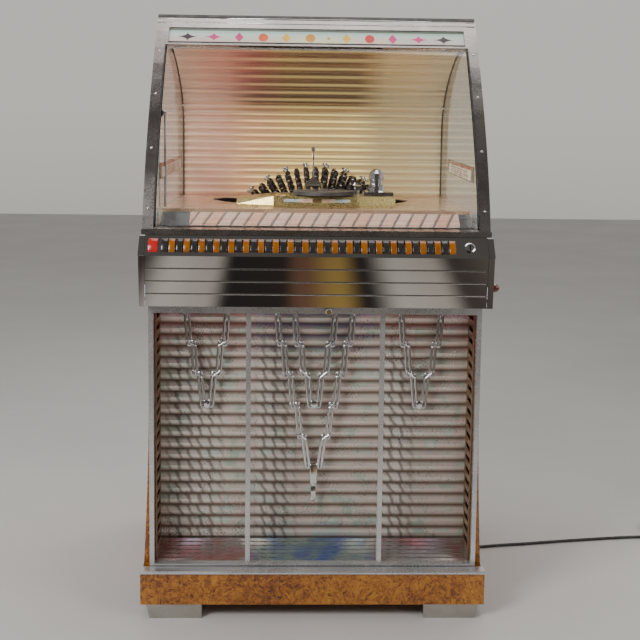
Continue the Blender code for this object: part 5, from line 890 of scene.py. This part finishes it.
def clip_finish(name):
    """Dark lacquered springs: brown black, with painted highlights on the ridges where they stand proud."""
    material, nodes, shader = new_material(name, metallic=0.55)
    across, rise = nodes.minus(nodes.place("X"), WHEEL[0]), nodes.minus(nodes.place("Z"), WHEEL[2])
    away = nodes.math("SQRT", nodes.math("ADD", nodes.times(across, across), nodes.times(rise, rise)))
    waves = 2 * math.pi * CLIP_RIBS / CLIP_LENGTH
    ridge = nodes.math("SINE", nodes.times(nodes.minus(away, CLIP_FOOT), waves))
    dark = nodes.drift((0.045, 0.026, 0.020), (0.020, 0.014, 0.014), 60.0)
    # painted highlights in flecks along the ridges
    share = nodes.times(nodes.span(ridge, 0.72, 0.98), nodes.span(nodes.noise(160.0, 2.0), 0.44, 0.60))
    nodes.put(nodes.between(share, dark, (0.50, 0.44, 0.38)), shader["Base Color"])
    nodes.wear(shader, 40.0, 0.16, 0.34)
    return material


def add_record_clips():
    """Ribbed dark clips that grip each record, and a small winged nut on every second place.

    A clip is turned round its spoke: its radius swells by a cubed sine five times, and a dome closes it."""
    h = np.linspace(0.0, 1.0, 17)
    swell = CLIP_RADIUS * (1 + 0.16 * np.sin(2 * math.pi * CLIP_RIBS * h) ** 3)
    swell[0], swell[-2], swell[-1] = 0.0040, 0.0058, 0.0024
    profile = np.stack([CLIP_FOOT + CLIP_LENGTH * h, swell], axis=1)
    clips, nuts = [], []
    for place, angle in enumerate(ring(RECORDS)):
        spoke = np.array((math.cos(angle), 0.0, math.sin(angle)))
        side = np.array((-math.sin(angle), 0.0, math.cos(angle)))
        for y in CLIP_ROWS:
            origin = np.array((WHEEL[0], y, WHEEL[2]))
            clips.append(turned(profile, origin, spoke, 8))
            if place % 2 == 0:
                nuts.append(turned(NUT_SECTION, origin, spoke, 6))
                for way in (-1, 1):
                    spot = origin + spoke * WING_PLACE + side * way * WING_ASIDE
                    nuts.append(carried(pillow(WING_SIZE, 2.4, 6, 10), spot, side, spoke, (0, 1, 0)))
    made("record_clips", clips, "magazine_wheel", "record_vinyl", clip_finish("clip_finish"))
    made("clip_nuts", nuts, "magazine_wheel", "record_vinyl", finish("chrome", "small_chrome"))


# Chains of the grille door: half width and wire of a link, and of an edge-on one
CHAIN_Y, LINK_HALF, LINK_WIRE, EDGE_HALF, EDGE_WIRE = -0.2120, 0.0046, 0.0038, 0.0042, 0.0024
LINK_OVER, EDGE_OVER, FIRST_HANG = 0.004, 0.003, 0.030
# Ends of each link of the left leg in x and z, mirrored for the right one
LONG_LEG = (((-0.0911, 0.7170), (-0.0869, 0.6570)), ((-0.0759, 0.6510), (-0.0706, 0.5780)),
            ((-0.0586, 0.5730), (-0.0526, 0.5010)), ((-0.0416, 0.4960), (-0.0345, 0.4230)),
            ((-0.0240, 0.4150), (-0.0150, 0.3480)))
SHORT_LEG = (((-0.0484, 0.7180), (-0.0438, 0.6560)), ((-0.0331, 0.6500), (-0.0283, 0.5810)),
             ((-0.0166, 0.5715), (-0.0102, 0.5025)))
# Height, width and depth down each pendant
LONG_PENDANT = (
    (0.3500, 0.0175, 0.0120), (0.3470, 0.0200, 0.0135), (0.3050, 0.0165, 0.0120), (0.2990, 0.0150, 0.0110),
    (0.2975, 0.0110, 0.0090), (0.2930, 0.0110, 0.0090), (0.2915, 0.0145, 0.0105), (0.2580, 0.0095, 0.0080),
    (0.2555, 0.0060, 0.0050))
SHORT_PENDANT = (
    (0.5110, 0.0150, 0.0115), (0.5090, 0.0175, 0.0135), (0.4990, 0.0150, 0.0120), (0.4910, 0.0100, 0.0090),
    (0.4895, 0.0070, 0.0060))
# Hanger plates: overlap past the legs, front and back, underside and top
HANGER_OVER, HANGER_Y, HANGER_Z = 0.0140, (-0.2662, -0.2050), (0.7530, 0.7560)


def link(start, end, over, half, wire, side, count):
    """A long rounded link between two places: its wire follows |u/a|^5 + |v/b|^5 = 1, v along the side.

    Without a side it lies flat in x and z."""
    run = (end - start) / np.linalg.norm(end - start)
    size = np.linalg.norm(end - start) + 2 * over
    flat = star((size + 2 * half, 2 * half), 5.0, count)
    side = np.cross(run, (0, 1, 0)) if side is None else np.array(side)
    return swept((start + end) / 2 + flat[:, :1] * run + flat[:, 1:] * side, wire, 8, closed=True)


def leg_links(leg, middle, sign):
    """The links of one leg, an edge-on link between each two, and the one that hangs from the plate."""
    spots = [[np.array((middle + sign * x, CHAIN_Y, z)) for x, z in pair] for pair in leg]
    shapes = [link(start, end, LINK_OVER, LINK_HALF, LINK_WIRE, None, 40) for start, end in spots]
    first = spots[0][0]
    ends = [(first + (0, 0, FIRST_HANG), first)]
    ends += [(above[1], below[0]) for above, below in zip(spots, spots[1:])]
    return shapes + [link(start, end, EDGE_OVER, EDGE_HALF, EDGE_WIRE, (0, 1, 0), 28) for start, end in ends]


def pendant(table, middle):
    """Rounded rectangles stacked down z: width and depth from the table, corners |x|^6 + |y|^6 = 1."""
    place = (middle, CHAIN_Y, 0.0)
    rings = [np.insert(star((wide, deep), 6.0, 32), 2, z, axis=1) + place for z, wide, deep in table]
    return web(np.stack(rings), wrap_columns=True, caps=True)


def add_chains():
    """Three chain ornaments, each hung from its plate behind the top rail of the door."""
    short, long = (SHORT_LEG, SHORT_PENDANT), (LONG_LEG, LONG_PENDANT)
    front, back = HANGER_Y
    for name, middle, parts in (("left_chain", -0.2640, [short]), ("right_chain", 0.2600, [short]),
                                ("centre_chains", 0.0, [short, long])):
        half = HANGER_OVER + max(-leg[0][0][0] for leg, table in parts)
        plate = [(middle - half, front), (middle + half, front), (middle + half, back), (middle - half, back)]
        shapes = [slab(plate, *HANGER_Z, axis=2)]
        for leg, table in parts:
            shapes += [pendant(table, middle)] + leg_links(leg, middle, 1) + leg_links(leg, middle, -1)
        made(f"linked_{name}", shapes, "grille_door", "chrome", hides=(name,))


def panel_finish(name, first, second, scale, stripes=0.0):
    """Printed or enamelled plate: two tones in fine clouds, with faint upright stripes where asked."""
    material, nodes, shader = new_material(name, coat_weight=0.3)
    tone = nodes.drift(first, second, scale)
    if stripes:
        line = nodes.span(nodes.math("SINE", nodes.times(nodes.place("X"), stripes)), 0.3, 0.9, 0.0, 0.45)
        tone = nodes.between(line, tone, tuple(0.55 * part for part in second))
    nodes.put(tone, shader["Base Color"])
    nodes.wear(shader, 30.0, 0.18, 0.34)
    return material


# Front of the gold cover: where its trim is centred, how it leans, and its beads
COVER_MIDDLE, COVER_UP = (0.0, -0.1460, 0.99875), (0.0, 0.0080, 0.0215)
COVER_LIFT, BEAD_ASIDE, BEAD_RADIUS = 0.0002, 0.1035, 0.0016
BEAD_ENDS = ((-0.1500, 0.9885), (-0.1424, 1.0090))
# Trim: finish with two tones, drift and stripes; places across, half size, thickness, outline's power, lift
COVER_TRIM = {
    "cover_plate": (("cream_enamel", (0.62, 0.50, 0.34), (0.52, 0.40, 0.25), 90.0),
                    (0.0,), (0.0510, 0.0046), 0.0007, 14.0, 0.0),
    "cover_windows": (("blue_enamel", (0.26, 0.42, 0.48), (0.50, 0.48, 0.40), 130.0, 900.0),
                      (-0.0620, 0.0670), (0.0172, 0.0037), 0.0006, 14.0, 0.0007),
    "cover_points": (("rose_enamel", (0.55, 0.20, 0.16), (0.60, 0.36, 0.28), 130.0),
                     (-0.0240, 0.0290), (0.0080, 0.0034), 0.0006, 1.0, 0.0007),
    "cover_badge": (("brown_badge", (0.12, 0.070, 0.022), (0.17, 0.10, 0.035), 120.0, 1400.0),
                    (0.0025,), (0.0115, 0.0050), 0.0016, 4.0, 0.0007),
}


def add_cover_trim():
    """Cream front plate with two pale blue windows, two rose points, a plain brown badge and gold beads."""
    up = np.array(COVER_UP)
    out = np.cross((1, 0, 0), up)
    out /= np.linalg.norm(out)
    for name, (look, places, size, thick, power, lift) in COVER_TRIM.items():
        shapes = []
        for x in places:
            spot = np.array(COVER_MIDDLE) + (x, 0, 0) + (COVER_LIFT + lift) * out
            outline = star(2 * np.array(size), power)
            shapes.append(carried(slab(outline, 0.0, thick, axis=2), spot, (1, 0, 0), up, out))
        made(name, shapes, "cabinet", "gold_cover", panel_finish(*look), False)
    beads = [swept([(x, *end) for end in BEAD_ENDS], BEAD_RADIUS) for x in (-BEAD_ASIDE, BEAD_ASIDE)]
    made("cover_beads", beads, "cabinet", "gold_cover")


# Plaques on the side glasses: where the glass is, and front top, back top, back low and front low in y and z
PLAQUE_X = 0.3764
PLAQUES = {
    "left": ((-0.232, 1.090), (0.262, 1.098), (0.262, 1.060), (-0.232, 1.052)),
    "right": ((-0.232, 1.089), (0.180, 1.098), (0.180, 1.060), (-0.232, 1.051)),
}
# Part of a plaque: finish, two tones and drift, faces off the glass, and blocks of place and size as shares
PLAQUE_PARTS = {
    "plaque": ("plaque_border", (0.025, 0.022, 0.022), (0.040, 0.034, 0.034), 70.0, (0.0, 0.0004),
               ((0, 0, 1, 1),)),
    "plaque_band": ("plaque_red", (0.24, 0.02, 0.02), (0.32, 0.04, 0.035), 80.0, (0.0004, 0.0006),
                    ((0, 0.36, 0.94, 0.20),)),
    "plaque_card": ("plaque_paper", (0.70, 0.68, 0.63), (0.62, 0.58, 0.52), 60.0, (0.0004, 0.0006),
                    ((0.02, -0.10, 0.86, 0.66),)),
    "plaque_bars": ("plaque_ink", (0.30, 0.05, 0.05), (0.14, 0.05, 0.05), 200.0, (0.0006, 0.0007),
                    ((0.02, 0.08, 0.62, 0.055), (0.02, -0.06, 0.50, 0.055), (0.02, -0.20, 0.66, 0.055),
                     (0.02, -0.33, 0.40, 0.055))),
}


def add_plaques():
    """A bordered label on each side glass: bare bars in rows under a dark red band."""
    square = np.array(((-1, -1), (1, -1), (1, 1), (-1, 1))) / 2
    for side, corners in PLAQUES.items():
        front_top, back_top, _, front_low = corners = np.array(corners)
        basis = np.stack([back_top - front_top, front_top - front_low])
        outer = -PLAQUE_X if side == "left" else PLAQUE_X
        for name, (look, first, second, scale, faces, blocks) in PLAQUE_PARTS.items():
            shapes = []
            for u, v, wide, tall in blocks:
                outline = corners.mean(axis=0) + ((u, v) + square * (wide, tall)) @ basis
                low, high = (outer - math.copysign(face, outer) for face in faces)
                shapes.append(slab(outline, low, high, axis=0))
            material = panel_finish(f"{look}_{side}", first, second, scale)
            made(f"{name}_{side}", shapes, "hood_lid", "title_card", material, False)


# Hood trim: how far it stands off the rails' curve, and its sizes
HEADER_OUT, SEAL_OUT, GLASS_OUT, SCREW_OUT = 0.0092, 0.0093, 0.0066, 0.0080
CAP_HALF, CAP_LENGTH, CAP_THICK = 0.4050, 0.0085, 0.0014
BEAD_HALF, SEAL_HALF, SEAL_RADIUS = 0.4040, 0.3740, 0.0013
HEADER_BEADS = ((0.0105, 0.0015), (0.0260, 0.0009))
SEAL_BELOW, SEAL_ABOVE, GLASS_START, GLASS_ASIDE, GLASS_SEAL = 0.0030, 0.0015, 0.014, 0.3790, 0.0018
SCREW_PLACES, SCREW_ASIDE, SCREW_RADIUS = (0.050, 0.200, 0.350, 0.480), 0.3935, 0.0030
# Screw head: height, and share of its radius
SCREW_SHARES = ((-0.0002, 1.0), (0.0003, 1.0), (0.0008, 0.8), (0.0011, 0.4), (0.0012, 0.05))


def bead(distance, offset, half, radius, sides):
    """A round bar across the hood at a distance up the rails."""
    (y, z), *_ = rail_place(distance, offset)
    return swept([(x, y, z) for x in (-half, 0.0, half)], radius, sides)


def add_hood_trim():
    """Black cap and bright beads on the header, dark seals by the lit strip and the glass, and screws."""
    length = rail_place(0.0)[3]
    line, *_ = rail_place(np.linspace(length - CAP_LENGTH, length, 5), HEADER_OUT)
    run = np.gradient(line, axis=0)
    out = np.stack([-run[:, 1], run[:, 0]], axis=1) / np.linalg.norm(run, axis=1)[:, None]
    cap = slab(np.vstack([line, (line + CAP_THICK * out)[::-1]]), -CAP_HALF, CAP_HALF, axis=0)
    made("header_cap", [cap], "hood_lid", "rubber", finish("painted_dark"), False)
    beads = [bead(length - down, HEADER_OUT, BEAD_HALF, radius, 10) for down, radius in HEADER_BEADS]
    made("header_beads", beads, "hood_lid", "chrome")
    start = length - HEADER_LENGTH + WINDOW_START
    places = (start - SEAL_BELOW, start + WINDOW_LENGTH + SEAL_ABOVE)
    seals = [bead(place, SEAL_OUT, SEAL_HALF, SEAL_RADIUS, 8) for place in places]
    made("strip_seals", seals, "hood_lid", "rubber", finish("painted_dark"))
    line, *_ = rail_place(np.linspace(GLASS_START, length - HEADER_LENGTH, 40), GLASS_OUT)
    seals, screws = [], []
    for aside in (-1, 1):
        seals.append(swept(np.insert(line, 0, aside * GLASS_ASIDE, axis=1), GLASS_SEAL, 8))
        for place in SCREW_PLACES:
            spot, _, out, _ = rail_place(place, SCREW_OUT)
            head = [(height, share * SCREW_RADIUS) for height, share in SCREW_SHARES]
            screws.append(turned(head, (aside * SCREW_ASIDE, *spot), (0.0, *out), 14))
    made("glass_seals", seals, "hood_lid", "rubber")
    made("rail_screws", screws, "hood_lid", "chrome")


# Stops across the floor in front as mirrors see it, and round the room's back and front
FLOOR_SCREENS = (
    (0.0, (0.10, 0.085, 0.075)), (0.14, (0.05, 0.040, 0.035)), (0.22, (0.60, 0.57, 0.53)),
    (0.31, (0.50, 0.46, 0.42)), (0.36, (0.012, 0.010, 0.010)), (0.47, (0.020, 0.014, 0.012)),
    (0.52, (0.17, 0.085, 0.050)), (0.60, (0.40, 0.27, 0.07)), (0.66, (0.020, 0.016, 0.014)),
    (0.74, (0.62, 0.59, 0.54)), (0.82, (0.56, 0.52, 0.47)), (0.88, (0.07, 0.055, 0.05)),
    (1.0, (0.16, 0.14, 0.12)))
BACKDROP = ((0.0, (0.55, 0.53, 0.50)), (0.24, (0.92, 0.88, 0.82)), (0.45, (0.98, 0.95, 0.90)),
            (1.0, (0.60, 0.59, 0.58)))
ROOM_SCREENS = (
    (0.0, (0.62, 0.62, 0.64)), (0.16, (0.10, 0.095, 0.09)), (0.38, (0.035, 0.030, 0.028)),
    (0.47, (0.16, 0.14, 0.12)), (0.55, (0.05, 0.045, 0.04)), (0.66, (0.60, 0.59, 0.58)),
    (0.74, (0.12, 0.11, 0.10)), (1.0, (0.50, 0.50, 0.51)))
FLOOR_X, FLOOR_Y, FLOOR_Z, ROOM_STRENGTH = (-9, 9), (-7, 11), -0.0003, 0.66
# Lamp of the studio: place, aim, size and power
LIGHTS = {
    "key_light": ((-2.2, -2.4, 2.6), (0, 0, 0.8), 1.3, 84.0),
    "fill_light": ((2.6, -1.9, 1.9), (0, 0, 0.7), 1.6, 26.0),
    "top_light": ((0.2, 0.4, 3.6), (0, 0, 0.9), 2.2, 44.0),
}


def add_floor():
    """Pale floor with a faint drift of tone; past 1.3 m in front, mirrors see dark and bright screens on it."""
    x, y = np.meshgrid(np.linspace(*FLOOR_X, 13), np.linspace(*FLOOR_Y, 13))
    points, faces = web(np.stack([x, y, 0 * x + FLOOR_Z], axis=2))
    mesh = bpy.data.meshes.new("floor")
    mesh.from_pydata(points.tolist(), [], faces)
    floor = linked("floor", mesh)
    material, nodes, shader = new_material("pale_floor")
    pale = nodes.drift((0.62, 0.60, 0.575), (0.66, 0.64, 0.61), 1.3)
    screens = nodes.ramp(nodes.span(nodes.place("X"), -1.1, 1.0), FLOOR_SCREENS)
    mirrored = nodes.add("ShaderNodeLightPath", output="Is Glossy Ray")
    ahead = nodes.times(mirrored, nodes.span(nodes.place("Y"), -1.25, -1.7))
    nodes.put(nodes.between(ahead, pale, screens), shader["Base Color"])
    nodes.wear(shader, 2.0, 0.45, 0.6)
    floor.data.materials.append(material)


def add_world():
    """A pale room: mirrors see dark and bright screens in its front, and a look sees only its pale back."""
    world = bpy.data.worlds.new("pale_room")
    bpy.context.scene.world = world
    world.use_nodes = True
    sky = Nodes(world.node_tree)
    spot = sky.add("ShaderNodeTexCoord", output="Generated")
    x, y, z = (sky.add("ShaderNodeSeparateXYZ", {0: spot}, output=axis) for axis in ("X", "Y", "Z"))
    behind = sky.ramp(sky.span(z, -0.25, 1.0), BACKDROP)
    front = sky.ramp(sky.span(x, -1.0, 1.0), ROOM_SCREENS)
    front = sky.between(sky.span(z, 0.25, 0.75), front, (0.16, 0.15, 0.14))
    seen = sky.add("ShaderNodeLightPath", output="Is Camera Ray")
    back = world.node_tree.nodes["Background"]
    share = sky.math("MAXIMUM", seen, sky.span(y, -0.25, 0.30))
    sky.put(sky.between(share, front, behind), back.inputs["Color"])
    back.inputs["Strength"].default_value = ROOM_STRENGTH


def add_lights():
    """Three soft square lamps, each turned to its aim."""
    for name, (place, aim, size, power) in LIGHTS.items():
        lamp = bpy.data.lights.new(name, "AREA")
        lamp.energy, lamp.size = power, size
        ahead, _, rise = axes_of(np.array(aim) - place)
        linked(name, lamp).matrix_world = aimed(place, np.cross(rise, -ahead), rise, -ahead)


# Node of the CAD whose finish isn't its slot's, with the finish and, where it has one, its own name
OWN_FINISH = {
    "screen_lamp_tube": ("lamp_glass", "screen_lamp_finish"), "recess_floor": ("recess",),
    "left_recess_return": ("ladder",), "right_recess_return": ("ladder",),
    "door_frame": ("pale_satin",), "lip_moulding": ("pale_satin",), "apron_panel": ("mirror_chrome",),
    "left_end_cap": ("mirror_chrome",), "right_end_cap": ("mirror_chrome",), "key_panel": ("mirror_chrome",),
}


def dress_nodes():
    """Gives every CAD node its finish."""
    for entry in frame["record"]["subparts"]:
        node = bpy.data.objects[entry["node"]]
        material = finish(*OWN_FINISH.get(entry["node"], (entry["material_slot"],)))
        for place in node.material_slots:
            place.material = material
        if not len(node.material_slots):
            node.data.materials.append(material)


make_groups()
add_camera()
add_lead()
dress_nodes()
for add_pieces in (add_header_marks, add_keys, add_records, add_wheel_frame, add_chains, add_record_clips,
                   add_cover_trim, add_plaques, add_hood_trim, add_floor, add_world, add_lights):
    add_pieces()
